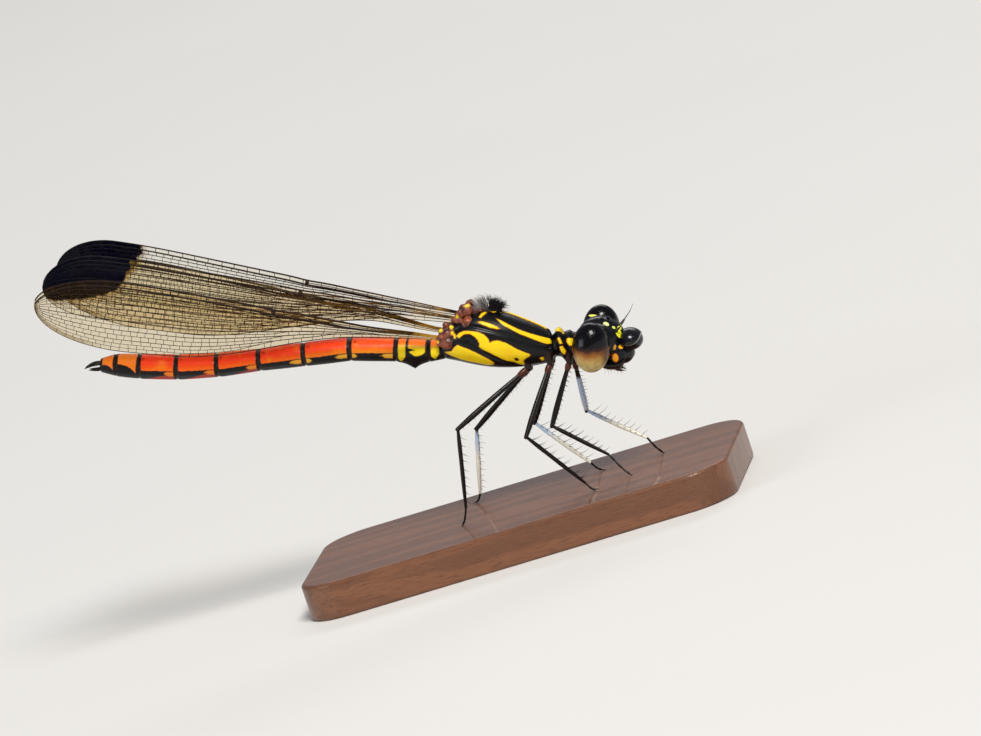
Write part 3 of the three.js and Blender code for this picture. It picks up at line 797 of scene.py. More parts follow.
# Thorax and prothorax, with their markings laid out as place along X and angle down from the top
DEGREE = 0.02  # millimetres of the thorax's surface for each degree round it
THORAX_MARKS = {
    "shoulder stripe": [
        (0.95, 37), (1.19, 42), (1.45, 48), (1.71, 53), (2.03, 56), (2.45, 58), (2.8, 60), (2.8, 84),
        (2.6, 84), (2.34, 76), (2.02, 69), (1.7, 64), (1.39, 57), (1.16, 51),
    ],
    "short stripe": [
        (0.22, 48), (0.42, 47), (0.71, 51), (0.95, 56), (1.05, 60), (0.93, 62), (0.68, 60), (0.44, 55),
    ],
    "hook and side patch": [
        (-0.75, 67), (-0.58, 63), (-0.37, 62), (-0.01, 66), (0.22, 69), (0.4, 74), (0.5, 82), (0.5, 89),
        (0.66, 85), (0.83, 84), (1.1, 88), (1.34, 97), (1.59, 105), (1.84, 112), (1.82, 118), (1.62, 124),
        (1.5, 130), (1.48, 149), (1.32, 143), (1.14, 132), (0.86, 128), (0.59, 118), (0.31, 108),
        (0.11, 103), (0.02, 98), (0.09, 90), (0.06, 83), (-0.02, 76), (-0.17, 70), (-0.4, 69), (-0.63, 74),
    ],
    "rear wedge": [
        (-1.45, 96), (-1.14, 102), (-0.98, 92), (-0.8, 88), (-0.59, 96), (-0.17, 109), (0.21, 123),
        (0.37, 133), (0.31, 141), (0.08, 145), (-0.26, 140), (-0.55, 138), (-0.91, 133), (-1.2, 121),
        (-1.4, 104),
    ],
    "hinge spot": [(0.33, 38), (0.42, 40), (0.66, 24), (0.6, 19), (0.46, 25)],
    "rear strip": [(-0.85, 58), (-0.74, 60), (-0.76, 72), (-0.86, 70)],
    "front spot": [(2.12, 128), (2.24, 124), (2.32, 130), (2.28, 140), (2.16, 140)],
    "tuft strip": [(0.72, 14), (1.1, 9), (1.2, 13), (0.86, 20)],
}
SIDE_DOT = [(1.18, 122), (1.32, 121), (1.36, 128), (1.22, 130)]  # black, in the side patch
# Seams between the markings, along which the shell is drawn in
THORAX_SEAMS = [
    [(-1.2, 50), (-0.2, 54), (1.2, 72), (2.6, 100)],
    [(-1.3, 84), (-0.3, 82), (0.2, 112), (1.3, 150)],
]
PROTHORAX_MARKS = {
    "collar": [(2.98, 0), (3.3, 0), (3.34, 20), (3.12, 30), (3.0, 24)],
    "collar side": [(3.06, 56), (3.16, 56), (3.2, 76), (3.1, 78)],
    "lower collar": [(3.06, 86), (3.18, 84), (3.24, 104), (3.16, 118), (3.06, 104)],
    "front block": [(3.4, 52), (3.62, 54), (3.62, 86), (3.42, 84), (3.36, 68)],
}


def around(place, stations):
    """Angle down from the top of a body of stations along X, in degrees."""
    wide, high, lift = section_at(stations, place[:, 0])
    return np.degrees(np.arctan2(np.abs(place[:, 1]) / wide, (place[:, 2] - lift) / high))


def unrolled(outline):
    """An outline in place and angle, in millimetres on the flattened surface."""
    return np.array([(x, angle * DEGREE) for x, angle in outline])


def surface_of(piece, stations):
    """Where each point of a body lies on its flattened surface."""
    place = vertices(piece)
    return np.column_stack([place[:, 0], around(place, stations) * DEGREE])


def mark(piece, stations, marks, holes=()):
    """How far inside a marking each point lies, negative outside."""
    surface = surface_of(piece, stations)
    inside = inside_distance(surface, [unrolled(outline) for outline in marks])
    for hole in holes:
        inside = np.minimum(inside, -inside_distance(surface, [unrolled(hole)]))
    return inside


def line_distance(points, line):
    """Distance from the nearest stretch of a line of several points."""
    nearest = np.full(len(points), 1e3)
    for a, b in zip(line, line[1:]):
        edge = b - a
        t = np.clip(((points - a) @ edge) / (edge @ edge), 0, 1)
        nearest = np.minimum(nearest, np.linalg.norm(points - a - t[:, None] * edge, axis=1))
    return nearest


def from_outline(rows, count):
    """Stations on smooth lines through rows of place, top, bottom and width."""
    table = through(rows, count)
    return [(x, width / 2, (top - bottom) / 2, (top + bottom) / 2) for x, top, bottom, width in table]


def add_thorax():
    stations = from_outline(THORAX, 72)
    trunk = drawn_out("trunk_skin", stations, 96)
    squared(trunk, stations, 2.3)
    subdivided(trunk)
    place = vertices(trunk)
    x, y, z = place.T
    inside = mark(trunk, stations, list(THORAX_MARKS.values()), [SIDE_DOT])
    surface = surface_of(trunk, stations)
    sink = sum(0.05 * hump(line_distance(surface, unrolled(seam)), 0.07) for seam in THORAX_SEAMS)
    ridge = 0.05 * (1 - smooth_step(np.abs(y) / 0.12)) * smooth_step((x - 1.2) / 0.3)
    rise = ridge - sink + 0.012 * smooth_step(inside / 0.1)
    # A yellow line runs along the ridge on top
    line = np.minimum(0.075 - np.abs(y), np.minimum(x - 1.2, 2.66 - x))
    line = np.where(z > 0.5, line, -1)
    remember(trunk, "marking", np.maximum(inside, line))
    move_vertices(trunk, place + normals(trunk) * rise[:, None])
    finished(trunk, PAINTS["thorax"], ["thorax"])


def add_prothorax():
    stations = from_outline(PROTHORAX, 40)
    neck = drawn_out("neck_skin", stations, 64)
    subdivided(neck)
    place = vertices(neck)
    x = place[:, 0]
    # A raised collar behind, and a lower one in front
    collar = 0.09 * hump(x - 3.1, 0.1) + 0.05 * hump(x - 3.5, 0.08)
    waist = 0.08 * hump(x - 3.31, 0.06)
    inside = mark(neck, stations, list(PROTHORAX_MARKS.values()))
    move_vertices(neck, place + normals(neck) * (collar - waist)[:, None])
    remember(neck, "marking", inside)
    finished(neck, PAINTS["thorax"], ["prothorax"])


# Abdomen: drawn straight along X, then laid on its bent line
def abdomen_joints():
    """The middle of the abdomen at each joint."""
    line = [ABDOMEN_START.copy()]
    for length, pitch in zip(LENGTHS, PITCHES):
        angle = math.radians(pitch)
        line.append(line[-1] + length * Vector((-math.cos(angle), 0, math.sin(angle))))
    return line


def add_abdomen():
    """One skin over the ten segments, pinched at each joint."""
    ends = np.concatenate([[0], np.cumsum(LENGTHS)])
    shares = [0, 0.025, 0.06, 0.14, 0.32, 0.55, 0.78, 0.9, 0.965]
    pinches = [0.9, 0.975, 1.0, 1.0, 1.01, 1.02, 1.01, 1.015, 1.0]
    stations = []
    for i, length in enumerate(LENGTHS):
        for share, pinch in zip(shares, pinches):
            grow = [np.interp(share, [0, 1], row[i:i + 2]) / 2 * pinch for row in (WIDTHS, HEIGHTS)]
            stations.append((ends[i] + share * length, *grow, 0))
    total = ends[-1]
    stations += [(total - 0.01, 0.29, 0.25, 0), (total + 0.04, 0.2, 0.16, 0)]
    skin = drawn_out("abdomen_skin", stations, 64)
    squared(skin, stations, 2.2)
    subdivided(skin)
    place = vertices(skin)
    along = np.clip(place[:, 0], 0, total - 1e-4)
    segment = np.clip(np.searchsorted(ends, along, side="right") - 1, 0, len(LENGTHS) - 1)
    share = (along - ends[segment]) / np.array(LENGTHS)[segment]
    wide, high, _ = section_at(stations, place[:, 0])
    side, lift = place[:, 1] / wide, place[:, 2] / high
    # The lower edge of each back plate stands proud of the belly, which is drawn in
    belly = smooth_step((-lift - 0.45) / 0.25) * (1 - smooth_step((segment - 7.5) / 0.5) * 0.6)
    place[:, 1] *= 1 - 0.07 * belly * smooth_step(np.minimum(share, 1 - share) / 0.1)
    keel = 0.02 * hump(place[:, 1], 0.1) * (lift > 0)
    place[:, 2] += keel
    # A pointed lobe under the second segment
    lobe_place = ends[1] + 0.46 * LENGTHS[1]
    reach = np.abs(place[:, 0] - lobe_place)
    narrow = hump(place[:, 1], 0.3) * (lift < 0)
    place[:, 2] -= (0.2 * np.exp(-reach / 0.16) + 0.14 * hump(reach, 0.5)) * narrow
    joints = np.array([tuple(p) for p in abdomen_joints()])
    move_vertices(skin, laid_on(place, joints, ends))
    # The bent line runs to -X, which turns the faces inside out
    faces_outward(skin)
    near = np.abs(place[:, 0][:, None] - ends[None, 1:]).min(axis=1)
    remember(skin, "skin", np.column_stack([share, (1 - lift) / 2, side]))
    remember(skin, "ends", np.column_stack([near, segment, along]))
    nodes = [f"abdomen_{i + 1}" for i in range(len(LENGTHS))]
    finished(skin, abdomen_paint(), nodes)


def laid_on(place, joints, ends):
    """Moves places drawn straight along X onto the line through the joints."""
    fine = np.linspace(0, ends[-1], 400)
    line = np.column_stack([np.interp(fine, ends, joints[:, column]) for column in (0, 2)])
    # The line is eased at the joints, so that the plates follow each other smoothly
    kernel = np.hanning(25)
    kernel /= kernel.sum()
    padded = np.vstack([
        line[0] - (line[12:0:-1] - line[0]), line, line[-1] - (line[-2:-14:-1] - line[-1]),
    ])
    eased = np.column_stack([np.convolve(padded[:, i], kernel, mode="valid") for i in (0, 1)])
    tangent = np.gradient(eased, fine, axis=0)
    tangent /= np.linalg.norm(tangent, axis=1)[:, None]
    s = place[:, 0]
    inside = np.clip(s, 0, ends[-1])
    centre = [np.interp(inside, fine, eased[:, i]) for i in (0, 1)]
    heading = [np.interp(inside, fine, tangent[:, i]) for i in (0, 1)]
    beyond = s - inside
    x = centre[0] + heading[0] * beyond + place[:, 2] * heading[1]
    z = centre[1] + heading[1] * beyond - place[:, 2] * heading[0]
    return np.column_stack([x, place[:, 1], z])


def limb(name, path, radii, sides, count=14):
    """A round limb along a smooth path. Each radius is a half width and half height."""
    path = through(path, count) if len(path) > 2 else np.linspace(*np.asarray(path, float), count)
    radii = np.asarray(radii, float)
    if radii.ndim == 1:
        radii = np.column_stack([radii, radii])
    steps = np.concatenate([[0], np.cumsum(np.linalg.norm(np.diff(path, axis=0), axis=1))])
    knots = np.linspace(0, steps[-1], len(radii))
    stations = [
        (s, np.interp(s, knots, radii[:, 0]), np.interp(s, knots, radii[:, 1]), 0) for s in steps
    ]
    piece = drawn_out(name, stations, sides)
    place = vertices(piece)
    tangent = np.gradient(path, steps, axis=0)
    tangent /= np.linalg.norm(tangent, axis=1)[:, None]
    upward = np.array([0.0, 0, 1]) if abs(tangent[:, 2]).mean() < 0.8 else np.array([1.0, 0, 0])
    across = np.cross(upward, tangent)
    across /= np.linalg.norm(across, axis=1)[:, None]
    up = np.cross(tangent, across)

    def at(values):
        return np.column_stack([np.interp(place[:, 0], steps, values[:, i]) for i in range(3)])

    move_vertices(piece, at(path) + place[:, 1:2] * at(across) + place[:, 2:3] * at(up))
    faces_outward(piece)
    return piece


def dome_ends(radii, blunt=0.55):
    """Radii with rounded ends added."""
    return [radii[0] * blunt, *radii, radii[-1] * blunt]


# Bristles: one is modelled, and each other is a copy with its own mesh
PATCH = 0.003  # width of a bristle's patch on the baking map


def bristle_template():
    """A thin upright cone of unit size, cut across so that it can bend."""
    deselect()
    bpy.ops.mesh.primitive_cone_add(vertices=5, radius1=1, radius2=0.12, depth=1, location=(0, 0, 0.5))
    template = bpy.context.object
    bpy.ops.object.transform_apply(location=True, rotation=True, scale=True)
    bpy.ops.object.mode_set(mode="EDIT")
    for height in (0.25, 0.5, 0.75):
        bpy.ops.mesh.select_all(action="SELECT")
        bpy.ops.mesh.bisect(plane_co=(0, 0, height), plane_no=(0, 0, 1))
    bpy.ops.object.mode_set(mode="OBJECT")
    return template


def bristles(name, places, corners=None):
    """Many bristles in one mesh. Each place is a root, a tip, a root radius and a sideways bow.
    With corners, each bristle has a patch at its own corner of the baking map."""
    template = bristle_template()
    shape = vertices(template)
    faces = [list(face.vertices) for face in template.data.polygons]
    points, polygons = [], []
    for root, tip, radius, bow in places:
        root, tip, bow = (np.asarray(v, float) for v in (root, tip, bow))
        heading = tip - root
        length = np.linalg.norm(heading)
        heading /= length
        side = np.cross(heading, [0.31, 0.52, 0.79])
        side /= np.linalg.norm(side)
        other = np.cross(heading, side)
        t = shape[:, 2:3]
        copy = root + t * length * heading + shape[:, :1] * radius * side + shape[:, 1:2] * radius * other
        copy += 4 * t * (1 - t) * bow
        polygons += [[v + len(points) * len(shape) for v in face] for face in faces]
        points.append(copy)
    bpy.data.objects.remove(template)
    mesh = bpy.data.meshes.new(name)
    mesh.from_pydata(np.vstack(points).tolist(), [], polygons)
    piece = bpy.data.objects.new(name, mesh)
    bpy.context.scene.collection.objects.link(piece)
    if corners is not None:
        along = np.tile(shape[:, 2], len(places))
        turn = np.tile(turns(shape[:, 0], shape[:, 1]), len(places))
        add_bake_map(piece, along, turn, np.repeat(corners, len(shape), axis=0), PATCH)
    return piece


def turns(x, y):
    """The direction of places from the middle, in turns from 0 to 1."""
    return np.arctan2(y, x) / (2 * math.pi) % 1


def add_bake_map(piece, along, round_it, corners, size):
    """A map along and round each tube, in a patch of the given size at its own corner."""
    layer = piece.data.uv_layers.new(name="OFBake")
    spread = np.empty((len(piece.data.loops), 2))
    for face in piece.data.polygons:
        index = list(face.vertices)
        turn = round_it[index]
        if len(index) > 4:
            # An end cap is a small disc
            way = 2 * math.pi * turn
            local = np.column_stack([along[index] + 0.05 * np.cos(way), 0.5 + 0.05 * np.sin(way)])
        else:
            # A side that crosses the start of a turn runs on past its end
            crosses = np.ptp(turn) > 0.5
            turn = np.where(crosses & (turn < 0.5), turn + 1, turn)
            local = np.column_stack([along[index], turn / 1.25])
        spread[face.loop_start:face.loop_start + len(index)] = corners[index] + local * size
    layer.data.foreach_set("uv", spread.ravel())


# Legs: half widths and half heights along the femur and the tibia, from the hip outwards
FEMUR = [(0.07, 0.07), (0.085, 0.09), (0.095, 0.105), (0.105, 0.115), (0.11, 0.12), (0.08, 0.09)]
TIBIA = [(0.06, 0.06), (0.085, 0.09), (0.075, 0.085), (0.08, 0.09), (0.07, 0.075), (0.05, 0.055)]
# How pale the inner faces of the femur and the tibia are
PALE_LEGS = {"front": (0.75, 1.0), "middle": (0.2, 0.95), "hind": (0.1, 0.6)}


def leg_colour(piece, side, strength=0, tones=(0, 0, 0), reddish=0):
    """Marks the inner faces of a length of leg as pale. The tones are those of the two ends,
    from blue-white to cream, and where the pale face starts."""
    place = vertices(piece)
    inward = -side * normals(piece)[:, 1]
    ends = np.array([place[0], place[-1]])
    axis = ends[1] - ends[0]
    along = np.clip(((place - ends[0]) @ axis) / (axis @ axis), 0, 1)
    low, high, start = tones
    tone = low + (high - low) * along
    pale = strength * smooth_step(inward / 0.75 + 0.2) * smooth_step((along - start) / 0.35)
    remember(piece, "leg", np.column_stack([pale, tone, np.full(len(place), reddish)]))


def add_leg(name, draw):
    pair, side_name = name.split("_")
    side = SIDES[side_name]
    hip, knee, ankle, toe = (np.array(p) for p in LEGS[name])
    femur_pale, tibia_pale = PALE_LEGS[pair]
    inside = hip + [0, -0.12 * side, 0.5]
    outward = np.array([0, side, 0])
    coxa_path = [inside, hip + 0.05 * outward, hip - [0, 0, 0.12]]
    coxa = limb("coxa", coxa_path, dome_ends([0.24, 0.19, 0.14]), 16)
    ring_path = [hip, hip + 0.17 * (knee - hip)]
    trochanter = limb("trochanter", ring_path, dome_ends([0.12, 0.135, 0.11]), 14, 8)
    bow = np.array([0.0, 0.03 * side, 0.015])
    femur = limb("femur", [hip, (hip + knee) / 2 + bow, knee], FEMUR, 14, 20)
    tibia = limb("tibia", [knee, (knee + ankle) / 2 - bow, ankle], TIBIA, 12, 20)
    bend = knee + 0.07 * (ankle - knee) / np.linalg.norm(ankle - knee)
    joint = limb("knee", [knee - (bend - knee), bend], [0.06, 0.105, 0.115, 0.06], 12, 6)
    # Three short tarsal joints, the last one flat on the ground, with two claws
    lowest = np.array([toe[0], toe[1], GROUND + 0.06])
    rest = ankle + (lowest - ankle) * 0.55 - [0, 0, 0.08]
    route = through([ankle, rest, lowest], 13)
    tarsus = [
        limb(f"tarsal_{i}", [route[a], route[b]], [0.028, 0.046, 0.04, 0.048, 0.028], 10, 6)
        for i, (a, b) in enumerate(((0, 3), (3, 7), (7, 12)))
    ]
    heading = lowest - rest
    heading /= np.linalg.norm(heading)
    turn = np.cross(heading, [0, 0, 1])
    claws = []
    for s in (1, -1):
        middle = lowest + 0.12 * heading + 0.06 * s * turn + [0, 0, 0.02]
        point = lowest + 0.2 * heading + 0.1 * s * turn
        point[2] = GROUND + 0.02
        claws.append(limb("claw", [lowest, middle, point], [0.024, 0.018, 0.006], 6, 6))
    leg_colour(coxa, side, reddish=0.42)
    leg_colour(trochanter, side, reddish=0.9)
    leg_colour(femur, side, femur_pale, (0.0, 0.25, 0.12), 0.15)
    leg_colour(tibia, side, tibia_pale, (0.0, 0.9, -0.2))
    for part in (joint, *tarsus, *claws):
        leg_colour(part, side)
    # Two rows of bristles stand on the side of each length that the leg bends to
    places = []
    long = 0.34 if pair == "hind" else 0.5
    # Start, end, what it bends to, and the bristles' length, number and lean
    rows = ((hip, knee, ankle, 0.24, 13, 0.35), (knee, ankle, hip, long, 9, 0.55))
    for start, end, towards, length, count, lean in rows:
        heading = (end - start) / np.linalg.norm(end - start)
        inner = (towards - knee) - heading * ((towards - knee) @ heading)
        inner /= np.linalg.norm(inner)
        for row in (1, -1):
            aside = 0.7 * row * np.cross(heading, inner)
            for i in range(count):
                t = (i + 0.8 + 0.3 * draw.random()) / (count + 0.9)
                root = start + t * (end - start) + 0.05 * (inner + aside)
                way = inner * (0.9 + 0.2 * draw.random()) + aside + lean * heading
                way /= np.linalg.norm(way)
                reach = length * (0.75 + 0.5 * draw.random()) * (1 - 0.35 * t)
                tip = root + way * reach
                tip[2] = max(tip[2], GROUND + 0.05)
                places.append((root, tip, 0.012, 0.06 * reach * heading))
    spines = bristles("spines", places)
    remember(spines, "leg", np.zeros((len(spines.data.vertices), 3)))
    parts = [coxa, trochanter, femur, joint, tibia, *tarsus, *claws, spines]
    leg = joined(parts, f"leg_{name}_skin")
    nodes = [f"{length}_{name}" for length in ("coxa", "femur", "tibia", "tarsus")]
    finished(leg, PAINTS["leg"], nodes)


def add_legs():
    draw = random.Random(3)
    for name in LEGS:
        add_leg(name, draw)


# Head
def head_form(name, centre, radii, around_count, along_count):
    """A rounded form in the head's own frame."""
    deselect()
    bpy.ops.mesh.primitive_uv_sphere_add(
        segments=around_count, ring_count=along_count, radius=1, location=(0, 0, 0)
    )
    piece = bpy.context.object
    piece.name = name
    bpy.ops.object.mode_set(mode="EDIT")
    bpy.ops.transform.resize(value=radii)
    bpy.ops.transform.translate(value=centre)
    bpy.ops.object.mode_set(mode="OBJECT")
    return piece


def into_head(piece):
    """From the head's own frame to the body's."""
    piece.data.transform(Matrix.Translation(HEAD) @ HEAD_TURN.to_matrix().to_4x4())
    return piece


def add_skull():
    skull = head_form("skull_skin", (0.16, 0, 0.0), (0.94, 1.24, 0.92), 72, 48)
    place = vertices(skull)
    forward, left, up = place.T
    # A hollow between eyes and crown, a swollen forehead and a flat back
    crown = hump(np.abs(left) - 0.5, 0.18) * smooth_step((up - 0.2) / 0.5)
    place -= normals(skull) * (0.07 * crown)[:, None]
    brow = hump(left, 0.42) * hump(up - 0.35, 0.3) * smooth_step((forward - 0.5) / 0.4)
    place += normals(skull) * (0.09 * brow)[:, None]
    temple = hump(np.abs(left) - 0.86, 0.26) * smooth_step((-forward + 0.2) / 0.5)
    place += normals(skull) * (0.16 * temple * smooth_step((up + 0.5) / 0.6))[:, None]
    place[:, 0] = np.maximum(place[:, 0], -0.72)
    move_vertices(skull, place)
    ocelli = [
        head_form("ocellus", centre, (0.075, 0.075, 0.075), 16, 10)
        for centre in ((0.5, 0, 0.88), (0.28, 0.2, 0.89), (0.28, -0.2, 0.89))
    ]
    jaws = [head_form("jaw", (0.92, 0.5 * s, -0.5), (0.36, 0.2, 0.4), 24, 16) for s in (1, -1)]
    temples = [head_form("temple", (-0.25, 0.74 * s, 0.5), (0.36, 0.22, 0.27), 32, 20) for s in (1, -1)]
    skull = joined([skull, *jaws, *temples], "skull_skin")
    melted(skull, 6)
    head = into_head(joined([skull, *ocelli], "skull_skin"))
    finished(head, PAINTS["head"], ["head"])


def add_eyes():
    for side, sign in SIDES.items():
        eye = head_form(f"eye_{side}_dome", (0, 1.3 * sign, 0), (0.76, 0.7, 1.02), 96, 64)
        place = vertices(eye)
        place[:, 1] = sign * np.maximum(place[:, 1] * sign, 0.72)
        move_vertices(eye, place)
        finished(into_head(eye), PAINTS["eye"], [f"eye_{side}"], 60)


def add_nose():
    nose = head_form("nose_plate", (1.38, 0, 0.01), (0.55, 0.62, 0.47), 56, 36)
    place = vertices(nose)
    # The lower half, under an arched seam, is sunk a little
    arch = 0.3 - place[:, 1] ** 2 - place[:, 2]
    sunk = smooth_step(arch / 0.05) * smooth_step((place[:, 0] - 1.25) / 0.15)
    move_vertices(nose, place - normals(nose) * (0.035 * sunk)[:, None])
    finished(into_head(nose), PAINTS["nose"], ["clypeus"])


def add_mouth():
    """Upper lip with a notch, lower lip with its cleft, two palps and a few fine bristles."""
    lip = head_form("upper_lip", (1.1, 0, -0.55), (0.46, 0.52, 0.44), 40, 28)
    place = vertices(lip)
    place[:, 0] -= 0.08 * hump(place[:, 1], 0.12) * smooth_step((-place[:, 2] - 0.6) / 0.3)
    move_vertices(lip, place)
    finished(into_head(lip), PAINTS["nose"], ["labrum"])

    mouth = head_form("lower_lip", (0.6, 0, -1.0), (0.52, 0.46, 0.26), 40, 28)
    place = vertices(mouth)
    place[:, 2] += 0.08 * hump(place[:, 1], 0.06)
    move_vertices(mouth, place)
    palps = [
        limb(
            "palp",
            [(0.72, 0.24 * s, -1.08), (0.98, 0.2 * s, -1.22), (1.16, 0.1 * s, -1.27)],
            [0.07, 0.1, 0.075, 0.03, 0.012], 14, 14,
        )
        for s in (1, -1)
    ]
    draw = random.Random(5)
    roots = [(draw.uniform(0.3, 1.1), draw.uniform(-0.3, 0.3)) for _ in range(26)]
    hairs = []
    for x, y in roots:
        end = (x + draw.uniform(0, 0.18), y * 1.3, -1.32 - draw.uniform(0, 0.12))
        hairs.append(((x, y, -1.12), end, 0.008, (0.03, 0, 0)))
    mouth = joined([mouth, *palps, bristles("mouth_bristles", hairs)], "lower_lip")
    finished(into_head(mouth), PAINTS["mouth"], ["labium"])


def add_feelers():
    for side, sign in SIDES.items():
        root = np.array([0.85, 0.45 * sign, 0.42])
        rise, spread = math.radians(48), math.radians(22) * sign
        way = np.array([math.cos(rise) * math.cos(spread), math.sin(spread), math.sin(rise)])
        bend = np.array([-0.1, 0.06 * sign, 0.08])
        scape = limb("scape", [root - 0.05 * way, root + 0.16 * way], [0.045, 0.07, 0.065, 0.04], 12, 8)
        pedicel_path = [root + 0.14 * way, root + 0.36 * way]
        pedicel = limb("pedicel", pedicel_path, [0.03, 0.046, 0.042, 0.022], 12, 8)
        lash_path = [root + 0.34 * way, root + 0.7 * way + 0.3 * bend, root + 0.98 * way + bend]
        lash = limb("lash", lash_path, [0.02, 0.017, 0.012, 0.006], 8, 12)
        feeler = into_head(joined([scape, pedicel, lash], f"feeler_{side}"))
        finished(feeler, PAINTS["bristle"], [f"antenna_{side}"])


# Wings
def breadth(wing, u):
    """How far the outline lies above and below the wing's axis."""
    root, slope, most, cap_from = wing["upper"]
    low_root, low_most, start, end, low_cap_from = wing["lower"]
    length = wing["length"]

    def cap(start_at):
        return np.sqrt(np.maximum(0, 1 - np.maximum(0, (u - start_at) / (length - start_at)) ** 2))

    # The upper outline rises straight from the root and bends smoothly into its greatest breadth
    upper = most - np.logaddexp(0, (most - root - slope * u) / 0.06) * 0.06
    lower = low_root + (low_most - low_root) * smooth_step((u - start) / (end - start))
    nodus = 0.03 * hump(u - wing["nodus"], 0.5)
    return (np.maximum(upper, 0.07) - nodus) * cap(cap_from), lower * cap(low_cap_from)


def wing_surface(wing, side, u, lane):
    """Place on a wing's middle surface from its length and the lane across it, trailing edge at 0."""
    pitch = math.radians(wing["pitch"])
    outward = np.array([-math.cos(pitch), 0, math.sin(pitch)])
    upward = np.array([math.sin(pitch), 0, math.cos(pitch)])
    upper, lower = breadth(wing, u)
    v = -lower + (upper + lower) * lane
    root = np.array([wing["root"].x, 0, wing["root"].z])
    place = root + np.outer(u, outward) + np.outer(v, upward)
    # Shallow pleats along the front veins, flattening towards the tip and trailing edge
    pleat = 0.05 * np.sin(lane * 26) * smooth_step((lane - 0.3) / 0.4) * smooth_step(u / 2)
    pleat *= 1 - smooth_step((u - wing["length"] + 5) / 2.5)
    camber = 0.08 * np.sin(np.pi * np.clip(lane, 0, 1)) * smooth_step(u / 6)
    place[:, 1] = side * (wing["root"].y + wing["aside"](u) + camber) + pleat
    return place, v


# Outline of the forewing's black tip: length along the wing, and height above its axis
FORE_BLACK = [
    (13.0, 1.6), (13.08, 1.25), (13.0, 1.05), (13.2, 0.9), (13.22, 0.6), (13.5, 0.16), (14.0, -0.12),
    (15.0, -0.37), (15.9, -0.52), (16.6, -0.4), (17.2, 0.4), (16.5, 2.0),
]


def add_membrane(kind, name, wing, side):
    is_fore = kind == "fore"
    deselect()
    bpy.ops.mesh.primitive_grid_add(x_subdivisions=150, y_subdivisions=36, size=1)
    piece = bpy.context.object
    piece.name = f"wing_{name}_membrane"
    grid = vertices(piece)
    t = np.clip(grid[:, 0] + 0.5, 0, 1)
    lane = np.clip(grid[:, 1] + 0.5, 0, 1)
    u = (wing["length"] + 0.25) * (1 - (1 - t) ** 1.4) - 0.252
    place, v = wing_surface(wing, side, u, lane)
    move_vertices(piece, place)
    high, low = breadth(wing, u)
    edge = np.minimum(np.minimum(high - v, v + low), wing["length"] - u)
    remember(piece, "wing", np.column_stack([u, lane, edge]))
    inside = np.full(len(u), -1.0)
    if is_fore:
        inside = inside_distance(np.column_stack([u, v]), [FORE_BLACK])
    remember(piece, "marking", inside)
    apply(piece, "SOLIDIFY", thickness=0.02, offset=0)
    finished(piece, PAINTS[kind], [f"wing_{name}"], 60)


# Long veins: lane, the length at which it leaves the lane of another, that lane, and radius
LONG_VEINS = {
    "fore": [
        (1.0, -0.25, 1.0, 0.036), (0.93, -0.25, 0.93, 0.04), (0.87, 1.6, 0.93, 0.022),
        (0.8, 3.0, 0.87, 0.02), (0.72, 5.0, 0.8, 0.014), (0.64, 1.4, 0.5, 0.022),
        (0.57, 5.4, 0.64, 0.014), (0.5, -0.25, 0.5, 0.028), (0.42, 5.2, 0.5, 0.014),
        (0.34, 2.0, 0.5, 0.02), (0.26, 5.4, 0.34, 0.014), (0.18, 3.2, 0.34, 0.017),
        (0.09, 5.8, 0.18, 0.013), (0.0, -0.25, 0.0, 0.02),
    ],
    "hind": [
        (1.0, -0.25, 1.0, 0.05), (0.93, -0.25, 0.93, 0.05), (0.87, 1.6, 0.93, 0.026),
        (0.79, 3.2, 0.87, 0.02), (0.71, 5.4, 0.79, 0.014), (0.62, 1.8, 0.45, 0.02),
        (0.54, 5.6, 0.62, 0.014), (0.45, -0.25, 0.45, 0.022), (0.38, 5.6, 0.45, 0.014),
        (0.31, 2.4, 0.45, 0.02), (0.24, 5.8, 0.31, 0.014), (0.17, 3.8, 0.31, 0.017),
        (0.11, 6.2, 0.17, 0.013), (0.055, 7.0, 0.11, 0.012), (0.0, -0.25, 0.0, 0.02),
    ],
}


def spaced(wing, u, lane):
    """Keeps the two front veins apart where the wing is narrow, and draws the others together."""
    width = np.maximum(sum(breadth(wing, u)), 1e-3)
    more = np.maximum(np.minimum(0.17, 0.3 * width) - 0.07 * width, 0)
    back = 1 - lane
    return lane - more * np.where(back < 0.07, back / 0.07, (1 - back) / 0.93) / width


def vein_lane(vein, u):
    """The lane that a vein runs in, from the one that it leaves."""
    lane, start, parent, _ = vein
    return lane + (parent - lane) * (1 - smooth_step((u - start) / 1.1))


